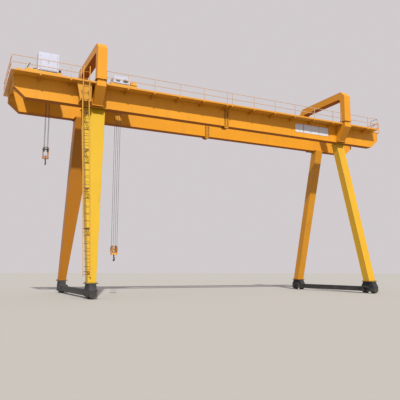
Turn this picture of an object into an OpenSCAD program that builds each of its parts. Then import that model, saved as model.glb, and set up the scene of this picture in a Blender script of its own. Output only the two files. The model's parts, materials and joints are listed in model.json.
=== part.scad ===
// Double-girder gantry crane with saddle arches, two trolleys and tapered box legs.
// X runs along the girders, Y from the front girder to the rear one, Z up from the ground.
// The origin is on the ground, under the middle of the girders.

/* [Overall] */
// Length of the girders over their end plates
girder_len = 29500; // [27000:50:32500]
// Distance between the left and the right leg lines
span = 21000; // [19000:50:22500]
// Length of girder beyond the left leg line
overhang_left = 4530; // [4300:10:5000]
// Height of the underside of the girders above the ground
under_z = 12080; // [11000:10:13000]
// Distance over the outer webs of the two girders
over_webs = 3680; // [3550:10:3800]
// Distance between the middles of the front and rear feet
foot_base = 8680; // [8200:10:9200]

/* [Girders] */
// Width of a girder over its webs
girder_w = 500; // [450:10:560]
// Depth of a girder over its flanges
girder_h = 1380; // [1200:10:1500]
// Thickness of the flanges
flange_t = 24; // [16:1:40]
// Width of the flanges beyond the webs
flange_lip = 30; // [20:1:50]
// Height lost by the sloping bottom corner at the girder's end
end_rise = 620; // [400:10:700]
// Length of the sloping bottom corner
end_run = 720; // [500:10:800]
// Distance from the middle joint to the far side of the splice rib beside it
splice_w = 125; // [100:5:130]
// Thickness of the splice ribs
splice_t = 30; // [20:1:40]
// Width of the splice ribs beyond the webs
splice_lip = 75; // [60:1:90]
// Depth of the splice ribs below the girder
splice_drop = 130; // [100:5:160]
// Size of the cut corners at the foot of a splice rib
splice_cut = 90; // [60:5:120]

/* [Trolley rails] */
// Height of a trolley rail
rail_h = 80; // [60:1:100]
// Width of a rail's foot
rail_foot = 110; // [90:1:130]
// Width of a rail's head
rail_head = 55; // [45:1:65]
// Distance from the end of the girder to the end stop
stop_inset = 380; // [300:10:450]

/* [Legs] */
// Height of the legs' foot plates above the ground
leg_base = 890; // [800:10:950]
// Width of a left leg at its head, along the girders
leg_l_top_w = 1370; // [1200:10:1450]
// Width of a left leg at its foot
leg_l_foot_w = 470; // [420:10:560]
// Depth of a left leg at its head, across the girders
leg_l_top_d = 880; // [800:10:900]
// Depth of a left leg at its foot
leg_l_foot_d = 600; // [500:10:700]
// How far the left edge of a left leg steps in from foot to head
leg_l_step = 85; // [0:5:150]
// Width of a right leg at its head
leg_r_top_w = 690; // [620:10:760]
// Width of a right leg at its foot
leg_r_foot_w = 590; // [540:10:640]
// Depth of a right leg at its head
leg_r_top_d = 600; // [540:10:640]
// Depth of a right leg at its foot
leg_r_foot_d = 600; // [540:10:640]
// Distance from the middle plane to the outer face of the leg heads
leg_head_y = 1610; // [1500:10:1700]
// Thickness of the plates at the legs' heads and feet
leg_plate_t = 40; // [30:1:60]
// Width of the legs' plates beyond their walls
leg_plate_lip = 70; // [50:5:90]

/* [Saddle arches] */
// Height of the top of the arches above the ground
arch_top = 16140; // [16000:10:16400]
// Distance between the middles of an arch's posts
arch_base = 5350; // [5250:10:5450]
// Depth of an arch's post, across the girders
arch_post_d = 500; // [440:10:560]
// Width of an arch, along the girders
arch_w = 600; // [560:10:680]
// Depth of an arch's top beam
arch_beam_h = 560; // [480:10:600]
// Size of an arch's bevelled top corners
arch_bevel = 400; // [300:10:450]
// Radius at the inner corners of an arch
arch_inner_r = 240; // [180:10:300]
// Distance from the left leg line to the middle of the left arch
arch_l_shift = 620; // [500:10:700]
// Distance from the right leg line to the middle of the right arch
arch_r_shift = -200; // [-260:10:-100]
// Height of the joint under an arch's post above the top of the girder
corbel_up = 220; // [180:10:300]
// Height of the square head of a corbel
corbel_head_h = 280; // [240:10:340]
// Depth of a corbel beyond the web, at its lower end
corbel_foot_d = 260; // [200:10:320]
// How far the pedestal between corbel and arch is set back
pedestal_inset = 60; // [40:5:90]
// Thickness of the joint plates
joint_t = 40; // [30:1:50]
// Width of the joint plates beyond the posts
joint_lip = 40; // [30:5:60]

/* [Walkways] */
// Width of a walkway outside its girder
walk_w = 800; // [740:10:860]
// Thickness of a walkway's plate
walk_t = 40; // [30:1:60]
// Distance from the girders' right end to the walkways' right end
walk_short = 590; // [500:10:650]
// Distance between walkway brackets and railing posts
post_pitch = 1850; // [1800:10:1900]
// Distance from the middle of the posts' row to the first post
post_first = 210; // [200:10:260]
// Distance from the middle joint to the middle of the posts' row
post_shift = 140; // [100:10:150]
// Height of the railing above the walkway
railing_h = 900; // [800:10:1100]
// Width of a railing's bars
railing_bar = 34; // [30:1:50]
// Height of the edge channel above the walkway's plate
toe_h = 60; // [40:5:100]
// Depth of the edge channel below the top of the plate
edge_drop = 50; // [45:1:80]
// Thickness of the edge channel
edge_t = 12; // [10:1:16]
// Depth of the brackets at the web
bracket_h = 250; // [200:10:260]
// Length of the plates between the girders' ends
end_platform = 250; // [240:10:300]
// How far the end railings stand outside the girders' ends
end_out = 250; // [200:10:300]

/* [Ladder] */
// Width of the ladder over its side rails
ladder_w = 450; // [420:10:540]
// Thickness of the ladder's side rails
ladder_bar = 50; // [40:1:70]
// Distance between rungs
rung_pitch = 440; // [300:10:450]
// Distance from the leg's foot to the ladder
ladder_gap = 150; // [120:5:180]
// Distance from the walkway's edge to the ladder's upper part
ladder_off = 180; // [150:5:220]
// Distance from the left leg line to the middle of the ladder
ladder_shift = -330; // [-360:10:-300]
// Height of the ladder's lower end above the ground
ladder_low = 1250; // [1150:10:1500]

/* [Feet] */
// Length of a wheel truck
truck_len = 1300; // [1250:10:1400]
// Width of a wheel truck
truck_w = 420; // [380:10:460]
// Diameter of a travel wheel
travel_wheel_d = 500; // [440:10:520]
// Height of the sill beams
sill_h = 350; // [300:10:360]
// Width of the sill beams
sill_w = 300; // [260:10:340]

/* [Trolleys] */
// Reach of the left trolley's frame to the left of its ropes
trolley_1_left = 1700; // [1600:10:1720]
// Reach of the left trolley's frame to the right of its ropes
trolley_1_right = 530; // [530:10:600]
// Reach of the right trolley's frame to the left of its ropes
trolley_2_left = 1040; // [1000:10:1100]
// Reach of the right trolley's frame to the right of its ropes
trolley_2_right = 800; // [780:10:860]
// Diameter of the trolley wheels
trolley_wheel_d = 320; // [280:10:340]
// Distance from the girders' left end to the left trolley's ropes
trolley_1_from_end = 2350; // [2250:10:2450]
// Distance from the left leg line to the right trolley's ropes
trolley_2_from_leg = 2560; // [2500:10:2700]
// Height of the left winch cabinet
cabinet_h = 1240; // [1150:10:1300]
// Height of the right winch cover
cover_h = 550; // [500:10:650]

/* [Hoists] */
// Diameter of the hoist ropes
rope_d = 24; // [18:1:30]
// Height of the top of the left hook block
block_1_top = 9540; // [9300:10:9700]
// Height of the top of the right hook block
block_2_top = 3240; // [3000:10:3400]
// Height of the left hook block
block_1_h = 790; // [700:10:820]
// Height of the right hook block
block_2_h = 600; // [600:10:660]

/* [Hidden] */
$fn = 48;
top_z = under_z + girder_h;
left_end = -girder_len / 2;
left_leg_x = left_end + overhang_left;
right_leg_x = left_leg_x + span;
left_arch_x = left_leg_x + arch_l_shift;
right_arch_x = right_leg_x + arch_r_shift;
trolley_1_x = left_end + trolley_1_from_end;
trolley_2_x = left_leg_x + trolley_2_from_leg;
ladder_x = left_leg_x + ladder_shift;
web_y = over_webs / 2;
girder_y = web_y - girder_w / 2;
inner_y = web_y - girder_w;
rail_top = top_z + rail_h;
foot_y = foot_base / 2;
arch_y = arch_base / 2;
arch_inner_y = arch_y - arch_post_d / 2;
arch_outer_y = arch_y + arch_post_d / 2;
corbel_top = top_z + corbel_up;
walk_y = web_y + walk_w;
lip_y = web_y + flange_lip;
walk_end = -left_end - walk_short;
touch = 0.3;
axle_z = rail_top + touch + trolley_wheel_d / 2;
carriage_top = axle_z + trolley_wheel_d / 2 + 90;
deck_t = 30;
deck_z = carriage_top;
drum_up = 330;
drum_z = deck_z + deck_t + drum_up;
// Half spreads of the four rope falls of each hoist, along and across the girders
rope_1 = [104, 160];
rope_2 = [130, 220];
sheave_1_r = rope_1[1] - rope_d / 2 - touch;
sheave_2_r = rope_2[1] - rope_d / 2 - touch;
crosshead_h = 130;
shank_d = 80;
sheave_w = 60;
sheave_lip = 26;
drum_pitch = 26;
// Heights of the middle rail and the top rail above the walkway
rail_levels = [railing_h * 0.52, railing_h];
post_clear = 200;
// Height of the joint between the ladder's leaning and upright stretches
ladder_joint = under_z;
// Sizes that a trolley's frame, wheels and cabinets share
carriage_w = 260;
carriage_drop = 90;
carriage_end = 60;
cross_beam_w = 240;
trolley_axle_d = 60;
trolley_well_l = trolley_wheel_d + 60;
trolley_well_w = 130;
trolley_axle_in = carriage_end + trolley_well_l / 2;
rope_slot = [420, 620];
// Thickness of the slabs that a leg is stretched between
leg_slab = 1;
steel_yellow = [1.0, 0.72, 0.12];
charcoal = [0.16, 0.16, 0.18];
bare_steel = [0.45, 0.45, 0.47];
cabinet_white = [0.93, 0.93, 0.92];

// A box given by its lowest and highest corners
module block(low, high) {
    translate(low) cube(high - low);
}

// Everything on the rear side is the front side's mirror image
module rear() {
    mirror([0, 1, 0]) children();
}

// Extrudes an outline drawn in Y and Z along X, from x = 0 to x = len
module along_x(len) {
    rotate([90, 0, 90]) linear_extrude(len) children();
}

// Extrudes an outline drawn in X and Z along Y, centred on y = 0
module along_y(len) {
    rotate([90, 0, 0]) linear_extrude(len, center = true) children();
}

// Side view of half a girder, from the middle joint to the end plate
module girder_side(inset) {
    half = girder_len / 2;
    polygon([[0, inset], [half - end_run, inset], [half, end_rise + inset],
        [half, girder_h - inset], [0, girder_h - inset]]);
}

// Half a box girder on the front side, to the right of the middle joint
module girder_half() {
    flange_w = girder_w + 2 * flange_lip;
    color(steel_yellow) translate([0, -girder_y, under_z]) {
        along_y(girder_w) girder_side(flange_t);
        along_y(flange_w) difference() {
            girder_side(0);
            girder_side(flange_t);
        }
        // The end plate
        block([girder_len / 2 - flange_t, -flange_w / 2, end_rise], [girder_len / 2, flange_w / 2, girder_h]);
        splice();
    }
}

// Half of the splice: a rib round the girder, and a box under it that meets the other half's box
module splice() {
    half_w = girder_w / 2 + splice_lip;
    box_y = half_w - splice_cut;
    rib_x = splice_w - splice_t;
    translate([rib_x, 0, 0]) along_x(splice_t) polygon([
        [-half_w, splice_cut], [-half_w, girder_h], [half_w, girder_h], [half_w, splice_cut],
        [box_y, -splice_drop], [-box_y, -splice_drop]]);
    block([0, -box_y, -splice_drop], [rib_x, box_y, flange_t]);
}

module front_girder_left() {
    mirror([1, 0, 0]) girder_half();
}

module front_girder_right() {
    girder_half();
}

module rear_girder_left() {
    rear() mirror([1, 0, 0]) girder_half();
}

module rear_girder_right() {
    rear() girder_half();
}

// A rail with a foot, a web and a head, on the middle of the front girder
module front_trolley_rail() {
    foot_t = rail_h * 0.2;
    head_t = rail_h * 0.35;
    web_t = rail_head * 0.4;
    color(bare_steel) translate([left_end + stop_inset, -girder_y, top_z])
        along_x(girder_len - 2 * stop_inset) polygon([
            [-rail_foot / 2, 0], [rail_foot / 2, 0], [rail_foot / 2, foot_t], [web_t / 2, foot_t],
            [web_t / 2, rail_h - head_t], [rail_head / 2, rail_h - head_t], [rail_head / 2, rail_h],
            [-rail_head / 2, rail_h], [-rail_head / 2, rail_h - head_t], [-web_t / 2, rail_h - head_t],
            [-web_t / 2, foot_t], [-rail_foot / 2, foot_t]]);
}

module rear_trolley_rail() {
    rear() front_trolley_rail();
}

// A stop at a rail's end: a braced plate with a rubber buffer that faces the trolley
module end_stop() {
    clear = 30;
    depth = stop_inset - 2 * clear;
    stop_h = carriage_top - top_z;
    stop_w = 160;
    post_w = 90;
    buffer_d = 120;
    buffer_l = 100;
    color(steel_yellow) translate([left_end + clear, -girder_y, top_z]) {
        along_y(stop_w) polygon([[0, 0], [depth, 0], [depth, stop_h], [depth - post_w, stop_h], [0, post_w]]);
        translate([depth, 0, stop_h - buffer_d]) rotate([0, 90, 0]) cylinder(d = buffer_d, h = buffer_l);
    }
}

module end_stops() {
    for (mx = [0, 1], my = [0, 1])
        mirror([mx, 0, 0]) mirror([0, my, 0]) end_stop();
}

// Inner outline of an arch, with rounded corners at the top
module arch_opening() {
    clear = arch_top - arch_beam_h;
    below = 1;
    half = arch_inner_y - arch_inner_r;
    translate([-arch_inner_y, corbel_top - below])
        square([2 * arch_inner_y, clear - arch_inner_r - corbel_top + below]);
    translate([-half, corbel_top]) square([2 * half, clear - corbel_top]);
    for (s = [-1, 1])
        translate([s * half, clear - arch_inner_r]) circle(r = arch_inner_r);
}

// A joint plate round the front post of an arch, centred on z
module joint_plate(x, z) {
    translate([x, -arch_y, z])
        cube([arch_w + 2 * joint_lip, arch_post_d + 2 * joint_lip, joint_t], center = true);
}

// A saddle arch over both girders, with bevelled corners and a joint plate under each post
module saddle_arch(x) {
    color(steel_yellow) {
        translate([x - arch_w / 2, 0, 0]) along_x(arch_w) difference() {
            polygon([
                [-arch_outer_y, corbel_top], [arch_outer_y, corbel_top],
                [arch_outer_y, arch_top - arch_bevel], [arch_outer_y - arch_bevel, arch_top],
                [-arch_outer_y + arch_bevel, arch_top], [-arch_outer_y, arch_top - arch_bevel]]);
            arch_opening();
        }
        for (my = [0, 1])
            mirror([0, my, 0]) joint_plate(x, corbel_top + joint_t / 2);
    }
}

module left_arch() {
    saddle_arch(left_arch_x);
}

module right_arch() {
    saddle_arch(right_arch_x);
}

// A corbel on the front girder's outer web: a tapered bracket, its square head and a set-back pedestal
module corbel(x) {
    foot_z = under_z + flange_t;
    foot_side = 60;
    color(steel_yellow) {
        translate([x - arch_w / 2, 0, 0]) along_x(arch_w) polygon([
            [-web_y, foot_z], [-web_y - corbel_foot_d, foot_z],
            [-arch_outer_y, top_z - corbel_head_h], [-arch_outer_y, top_z],
            [-arch_inner_y, top_z], [-arch_inner_y, top_z - walk_t], [-web_y, top_z - walk_t]]);
        block([x - arch_w / 2 + pedestal_inset, -arch_outer_y + pedestal_inset, top_z],
            [x + arch_w / 2 - pedestal_inset, -arch_inner_y - pedestal_inset, corbel_top]);
        joint_plate(x, corbel_top - joint_t / 2);
        // The bolted plate at the foot
        block([x - arch_w / 2 - foot_side, -web_y - corbel_foot_d - foot_side, foot_z],
            [x + arch_w / 2 + foot_side, -web_y, foot_z + joint_t]);
    }
}

module left_corbels() {
    corbel(left_arch_x);
    rear() corbel(left_arch_x);
}

module right_corbels() {
    corbel(right_arch_x);
    rear() corbel(right_arch_x);
}

// A thin slab, given by its ranges in x and y, to stretch a leg between
module section(x, y, z) {
    block([x[0], y[0], z], [x[1], y[1], z + leg_slab]);
}

// How far a leg's outer face is from the middle plane, at a height z: it leans inwards
function lean_y(z, foot_d) =
    let (low = foot_y + foot_d / 2, rise = under_z - leg_base)
    low + (leg_head_y - low) * (z - leg_base) / rise;

// A leaning, tapered box leg on the front side, between its foot plate and its head plate
module leg(x, foot_w, foot_d, top_w, top_d, step) {
    head_z = under_z - leg_plate_t;
    foot_z = leg_base + leg_plate_t;
    foot_out = lean_y(foot_z + leg_slab, foot_d);
    head_out = lean_y(head_z, foot_d);
    x0 = x - foot_w / 2;
    x1 = x0 + step;
    hull() {
        section([x0, x0 + foot_w], [-foot_out, -foot_out + foot_d], foot_z);
        section([x1, x1 + top_w], [-head_out, -head_out + top_d], head_z - leg_slab);
    }
    // The head plate under the girder
    block([x1 - leg_plate_lip, -web_y, head_z], [x1 + top_w + leg_plate_lip, -head_out + top_d, under_z]);
    // The foot plate on the truck
    block([x0 - leg_plate_lip, -foot_out - leg_plate_lip, leg_base],
        [x0 + foot_w + leg_plate_lip, -foot_out + foot_d + leg_plate_lip, foot_z]);
}

// A left leg on the front side
module left_leg() {
    color(steel_yellow)
        leg(left_leg_x, leg_l_foot_w, leg_l_foot_d, leg_l_top_w, leg_l_top_d, leg_l_step);
}

// A right leg on the front side
module right_leg() {
    color(steel_yellow)
        leg(right_leg_x, leg_r_foot_w, leg_r_foot_d, leg_r_top_w, leg_r_top_d, 0);
}

module leg_front_left() {
    left_leg();
}

module leg_rear_left() {
    rear() left_leg();
}

module leg_front_right() {
    right_leg();
}

module leg_rear_right() {
    rear() right_leg();
}

// A sill beam between the trucks under one pair of legs
module sill(x) {
    low = 150;
    end_y = foot_y - truck_len / 2;
    color(charcoal) block([x - sill_w / 2, -end_y, low], [x + sill_w / 2, end_y, low + sill_h]);
}

module left_sill() {
    sill(left_leg_x);
}

module right_sill() {
    sill(right_leg_x);
}

// A wheel truck: a sloping-ended box, open below, with two travel wheels on their axles
module truck(x, y) {
    low = 130;
    side_t = 30;
    shoulder = travel_wheel_d;
    cap_t = 40;
    cap = leg_base - cap_t;
    cap_lip = 120;
    head = 860;
    wheel_w = 130;
    well_l = travel_wheel_d + 40;
    wheel_at = (truck_len - well_l) / 2 - 20;
    axle_d = 110;
    axle_out = 30;
    color(charcoal) translate([x, y, 0]) {
        difference() {
            translate([-truck_w / 2, 0, 0]) along_x(truck_w) polygon([
                [-truck_len / 2, low], [truck_len / 2, low], [truck_len / 2, shoulder],
                [head / 2, cap], [-head / 2, cap], [-truck_len / 2, shoulder]]);
            // The two wells that the wheels turn in
            for (s = [-1, 1])
                translate([0, s * wheel_at, low])
                    cube([truck_w - 2 * side_t, well_l, 2 * (travel_wheel_d - low)], center = true);
        }
        for (s = [-1, 1])
            translate([0, s * wheel_at, travel_wheel_d / 2]) rotate([0, 90, 0]) {
                cylinder(d = travel_wheel_d, h = wheel_w, center = true);
                cylinder(d = axle_d, h = truck_w + 2 * axle_out, center = true);
            }
        block([-truck_w / 2 - cap_lip, -head / 2, cap], [truck_w / 2 + cap_lip, head / 2, leg_base]);
    }
}

module truck_front_left() {
    truck(left_leg_x, -foot_y);
}

module truck_rear_left() {
    truck(left_leg_x, foot_y);
}

module truck_front_right() {
    truck(right_leg_x, -foot_y);
}

module truck_rear_right() {
    truck(right_leg_x, foot_y);
}

// Places of the railing posts and brackets between x = low and x = high
function post_x(low, high) = [
    for (s = [-1, 1], i = [0 : floor(girder_len / 2 / post_pitch)])
        let (x = s * (post_first + i * post_pitch) - post_shift)
        if (x > low && x < high) x];

// The stretches of the front walkway's edge: left of, between and right of the arches
function edge_runs(gap) = [
    [left_end, left_arch_x - gap], [left_arch_x + gap, right_arch_x - gap], [right_arch_x + gap, walk_end]];

// Outline of a walkway bracket, in Y and Z
module bracket_side() {
    seat = 20;
    polygon([
        [-web_y, top_z - walk_t - bracket_h], [-walk_y, top_z - walk_t - seat], [-walk_y, top_z - walk_t],
        [-lip_y, top_z - walk_t], [-lip_y, top_z - walk_t - seat], [-web_y, top_z - walk_t - seat]]);
}

// The front walkway: a plate with an edge channel and brackets to the web, notched for the arches
module front_walkway() {
    rib_t = 16;
    margin = 60;
    notch = 5;
    color(steel_yellow) {
        difference() {
            block([left_end, -walk_y, top_z - walk_t], [walk_end, -lip_y, top_z]);
            for (x = [left_arch_x, right_arch_x])
                block([x - arch_w / 2, -walk_y - notch, top_z - 2 * walk_t],
                    [x + arch_w / 2, -arch_inner_y, top_z + walk_t]);
            // Room for the splice ribs
            block([-splice_w - notch, -web_y - splice_lip - notch, top_z - 2 * walk_t],
                [splice_w + notch, -web_y, top_z + walk_t]);
        }
        for (run = edge_runs(arch_w / 2)) {
            block([run[0], -walk_y - edge_t, top_z - edge_drop], [run[1], -walk_y, top_z + toe_h]);
            for (x = post_x(run[0] + margin, run[1] - margin))
                translate([x - rib_t / 2, 0, 0]) along_x(rib_t) bracket_side();
        }
    }
}

module rear_walkway() {
    rear() front_walkway();
}

// One stretch of railing on the front walkway: posts with a top rail and a middle rail
module railing_run(x0, x1) {
    y = -walk_y + railing_bar / 2;
    half = railing_bar / 2;
    for (level = rail_levels)
        block([x0, y - half, top_z + level - railing_bar], [x1, y + half, top_z + level]);
    for (x = concat([x0 + half], post_x(x0 + post_clear, x1 - post_clear), [x1 - half]))
        block([x - half, y - half, top_z], [x + half, y + half, top_z + railing_h]);
}

// A return of the railing from the walkway's edge back to the girder, at x
module railing_return(x) {
    for (level = rail_levels)
        block([x, -walk_y, top_z + level - railing_bar], [x + railing_bar, -lip_y, top_z + level]);
    block([x, -lip_y - railing_bar, top_z], [x + railing_bar, -lip_y, top_z + railing_h]);
}

// The front railing, broken at the arches and at the ladder's head
module front_railing() {
    margin = 60;
    gap = arch_w / 2 + joint_lip + 20;
    runs = edge_runs(gap);
    color(steel_yellow) {
        railing_run(left_end - end_out, ladder_x - ladder_w / 2 - margin);
        railing_run(runs[1][0], runs[1][1]);
        railing_run(runs[2][0], runs[2][1] - margin);
        railing_return(runs[2][1] - margin - railing_bar);
    }
}

module rear_railing() {
    rear() front_railing();
}

// An end platform, drawn at the left: a tie beam and a plate between the girders, and a plate
// outside their ends that reaches half_w to each side, with a railing along its edge
module platform(half_w, rail_half, posts) {
    beam_h = 300;
    beam_w = 200;
    beam_at = left_end + flange_t;
    bar = railing_bar;
    edge = left_end - end_out;
    plate_y = inner_y - flange_lip;
    color(steel_yellow) {
        block([edge, -plate_y, top_z - walk_t], [left_end + end_platform, plate_y, top_z]);
        block([edge, -half_w, top_z - walk_t], [left_end, half_w, top_z]);
        block([beam_at, -inner_y, top_z - walk_t - beam_h], [beam_at + beam_w, inner_y, top_z - walk_t]);
        for (y = posts)
            block([edge, y - bar / 2, top_z], [edge + bar, y + bar / 2, top_z + railing_h]);
        for (level = rail_levels)
            block([edge, -rail_half, top_z + level - bar], [edge + bar, rail_half, top_z + level]);
    }
}

// At the left the walkways reach the platform, and their railings hold its corner posts
module left_end_platform() {
    platform(walk_y, walk_y - railing_bar, [-inner_y, 0, inner_y]);
}

// At the right the platform is as wide as the girders and has corner posts of its own
module right_end_platform() {
    corner = lip_y - railing_bar / 2;
    mirror([1, 0, 0]) platform(lip_y, lip_y, [-corner, -inner_y, 0, inner_y, corner]);
}

// How far the back of the ladder is from the middle plane, at a height z: it leans less than the leg
function ladder_y(z) =
    let (low_y = lean_y(ladder_low, leg_l_foot_d) + ladder_gap, high_y = walk_y + edge_t + ladder_off)
    low_y + (high_y - low_y) * (z - ladder_low) / (ladder_joint - ladder_low);

// A stretch of ladder between two heights, its back in the plane that ladder_y gives
module ladder(low, high, back_low, back_high) {
    rung_d = 26;
    end = 120;
    for (s = [-1, 1])
        translate([ladder_x + s * (ladder_w - ladder_bar) / 2 - ladder_bar / 2, 0, 0]) along_x(ladder_bar) polygon([
            [-back_low, low], [-back_low - ladder_bar, low], [-back_high - ladder_bar, high], [-back_high, high]]);
    for (z = [low + end : rung_pitch : high - end])
        translate([ladder_x, -back_low - (back_high - back_low) * (z - low) / (high - low) - ladder_bar / 2, z])
            rotate([0, 90, 0]) cylinder(d = rung_d, h = ladder_w - ladder_bar, center = true);
}

// The ladder up the front left leg, on stand-offs that grow longer as the leg leans away
module leg_ladder() {
    arm_t = 30;
    arm_h = 50;
    first = ladder_low + 250;
    arm_pitch = 2450;
    seat = 10;
    right_stile = ladder_x + ladder_w / 2 - ladder_bar;
    color(steel_yellow) {
        ladder(ladder_low, ladder_joint, ladder_y(ladder_low), ladder_y(ladder_joint));
        for (z = [first : arm_pitch : under_z - leg_plate_t - arm_h]) {
            // The cross bar behind the stiles, let into them
            translate([ladder_x - ladder_w / 2, 0, 0]) along_x(ladder_w) polygon([
                [-ladder_y(z) - seat, z], [-ladder_y(z) + arm_t, z],
                [-ladder_y(z + arm_h) + arm_t, z + arm_h], [-ladder_y(z + arm_h) - seat, z + arm_h]]);
            // Two arms to the leg's face
            for (x = [right_stile, right_stile - 2 * ladder_bar])
                translate([x, 0, 0]) along_x(arm_t) polygon([
                    [-ladder_y(z), z], [-lean_y(z, leg_l_foot_d), z],
                    [-lean_y(z + arm_h, leg_l_foot_d), z + arm_h], [-ladder_y(z + arm_h), z + arm_h]]);
        }
    }
}

// The ladder's head: an upright stretch to the walkway, and the tapered bracket box that steadies it
module ladder_landing() {
    back = ladder_y(ladder_joint);
    high = top_z + railing_h;
    plate_t = 16;
    plate_y = web_y + 620;
    plate_top = top_z - walk_t;
    plate_low = under_z + 120;
    left_top = ladder_x - 510;
    left_low = ladder_x - 260;
    right_side = ladder_x + 430;
    web_drop = 40;
    arm = 40;
    color(steel_yellow) {
        ladder(ladder_joint, high, back, back);
        // The bracket box: a front plate and two side ribs under the walkway
        translate([0, -plate_y + plate_t / 2, 0]) along_y(plate_t) polygon([
            [left_low, plate_low], [right_side, plate_low], [right_side, plate_top], [left_top, plate_top]]);
        for (x = [left_low, right_side - plate_t])
            translate([x, 0, 0]) along_x(plate_t) polygon([
                [-web_y, plate_low - web_drop], [-plate_y + plate_t / 2, plate_low],
                [-plate_y + plate_t / 2, plate_top], [-lip_y, plate_top],
                [-lip_y, plate_top - flange_t], [-web_y, plate_top - flange_t]]);
        // Arms from the stiles to the front plate and to the walkway's edge
        for (s = [-1, 1], z = [plate_low + arm, plate_low + 14 * arm])
            block([ladder_x + s * (ladder_w - ladder_bar) / 2 - arm / 2, -back, z],
                [ladder_x + s * (ladder_w - ladder_bar) / 2 + arm / 2, -plate_y, z + arm]);
        for (s = [-1, 1])
            block([ladder_x + s * (ladder_w - ladder_bar) / 2 - arm / 2, -back, top_z - edge_drop],
                [ladder_x + s * (ladder_w - ladder_bar) / 2 + arm / 2, -walk_y - edge_t, top_z - edge_drop + arm]);
    }
}

// Three bare plates on the front girder's outer web, placed from the right corbel
module name_plates() {
    t = 12;
    high = top_z - walk_t - bracket_h - 20;
    from = right_arch_x - arch_w / 2;
    plate_h = 680;
    // Each plate's distance from the corbel and its width
    plates = [[4108, 747], [3283, 1472], [1781, 919]];
    color(cabinet_white) for (p = plates)
        block([from - p[0], -web_y - t, high - plate_h], [from - p[0] + p[1], -web_y, high]);
}

// A trolley's frame: two carriages over the rails, two cross beams and a deck with a rope slot.
// It reaches from -left to right beside the ropes at x
module trolley_frame(x, left, right) {
    side_low = axle_z - carriage_drop;
    cut = 10;
    buffer_d = 100;
    buffer_l = 70;
    color(steel_yellow) translate([x, 0, 0]) {
        for (s = [-1, 1]) translate([0, s * girder_y, 0]) difference() {
            block([-left, -carriage_w / 2, side_low], [right, carriage_w / 2, carriage_top]);
            for (axle_x = [-left + trolley_axle_in, right - trolley_axle_in]) {
                translate([axle_x, 0, side_low])
                    cube([trolley_well_l, trolley_well_w, 2 * (carriage_top - side_low - deck_t - cut)], center = true);
                translate([axle_x, 0, axle_z]) rotate([90, 0, 0])
                    cylinder(d = trolley_axle_d + 2 * touch, h = carriage_w + cut, center = true);
            }
        }
        for (beam_x = [-left + carriage_end, right - carriage_end - cross_beam_w])
            block([beam_x, -girder_y + carriage_w / 2, side_low],
                [beam_x + cross_beam_w, girder_y - carriage_w / 2, carriage_top]);
        difference() {
            block([-left, -girder_y - carriage_w / 2, deck_z], [right, girder_y + carriage_w / 2, deck_z + deck_t]);
            translate([0, 0, deck_z]) cube([rope_slot[0], rope_slot[1], 4 * deck_t], center = true);
        }
        // Buffers on the corners of the carriages
        for (s = [-1, 1], end = [[-left, -90], [right, 90]])
            translate([end[0], s * girder_y, carriage_top - carriage_end]) rotate([0, end[1], 0])
                cylinder(d = buffer_d, h = buffer_l);
    }
}

// The four trolley wheels, each with two flanges and its axle
module trolley_wheels(x, left, right) {
    tread_w = rail_head + 10;
    flange_w = 16;
    flange_h = 20;
    color(bare_steel) for (s = [-1, 1], axle_x = [-left + trolley_axle_in, right - trolley_axle_in])
        translate([x + axle_x, s * girder_y, axle_z]) rotate([90, 0, 0]) {
            cylinder(d = trolley_wheel_d, h = tread_w, center = true);
            for (f = [-1, 1])
                translate([0, 0, f * (tread_w + flange_w) / 2])
                    cylinder(d = trolley_wheel_d + 2 * flange_h, h = flange_w, center = true);
            cylinder(d = trolley_axle_d, h = carriage_w, center = true);
        }
}

// Half section of a grooved drum: a row of shallow V grooves between the two end flanges
module drum_section(r, len) {
    flange_t = 30;
    flange_h = 40;
    groove_d = 8;
    shaft_r = 30;
    turns = floor((len - 2 * flange_t) / drum_pitch);
    start = -turns * drum_pitch / 2;
    polygon(concat(
        [[shaft_r, -len / 2], [r + flange_h, -len / 2], [r + flange_h, -len / 2 + flange_t], [r, -len / 2 + flange_t]],
        [for (i = [0 : turns - 1], k = [0, 1]) [r - k * groove_d, start + (i + k / 2) * drum_pitch]],
        [[r, len / 2 - flange_t], [r + flange_h, len / 2 - flange_t], [r + flange_h, len / 2], [shaft_r, len / 2]]));
}

// A winch: a grooved drum along the girders, with its bearing stand, gearbox and motor
module winch(x, drum_r, drum_l) {
    foot = -drum_up;
    stand_t = 60;
    stand_w = 380;
    stand_h = 120;
    shaft_d = 110;
    shaft_out = 30;
    gear_l = 240;
    gear_h = 160;
    motor_d = 300;
    motor_l = 620;
    motor_drop = 60;
    motor_y = drum_r + 220;
    end_x = drum_l / 2 + 10;
    color(charcoal) translate([x, 0, drum_z]) {
        rotate([0, 90, 0]) {
            rotate_extrude() drum_section(drum_r, drum_l);
            cylinder(d = shaft_d, h = drum_l + 2 * (stand_t + shaft_out), center = true);
        }
        block([-end_x - stand_t, -stand_w / 2, foot], [-end_x, stand_w / 2, stand_h]);
        // The gearbox carries the drum's other end and the motor
        block([end_x, -stand_w / 2, foot], [end_x + gear_l, motor_y + motor_d / 2, gear_h]);
        translate([end_x + shaft_out, motor_y, -motor_drop]) rotate([0, -90, 0]) cylinder(d = motor_d, h = motor_l);
        // The motor's foot
        block([end_x - motor_l + motor_d / 2, motor_y - motor_d / 3, foot],
            [end_x - motor_d / 2, motor_y + motor_d / 3, -motor_drop - motor_d / 3]);
    }
}

module trolley_1_frame() {
    trolley_frame(trolley_1_x, trolley_1_left, trolley_1_right);
}

module trolley_1_wheels() {
    trolley_wheels(trolley_1_x, trolley_1_left, trolley_1_right);
}

module trolley_1_winch() {
    winch(trolley_1_x, sheave_1_r, 540);
}

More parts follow.
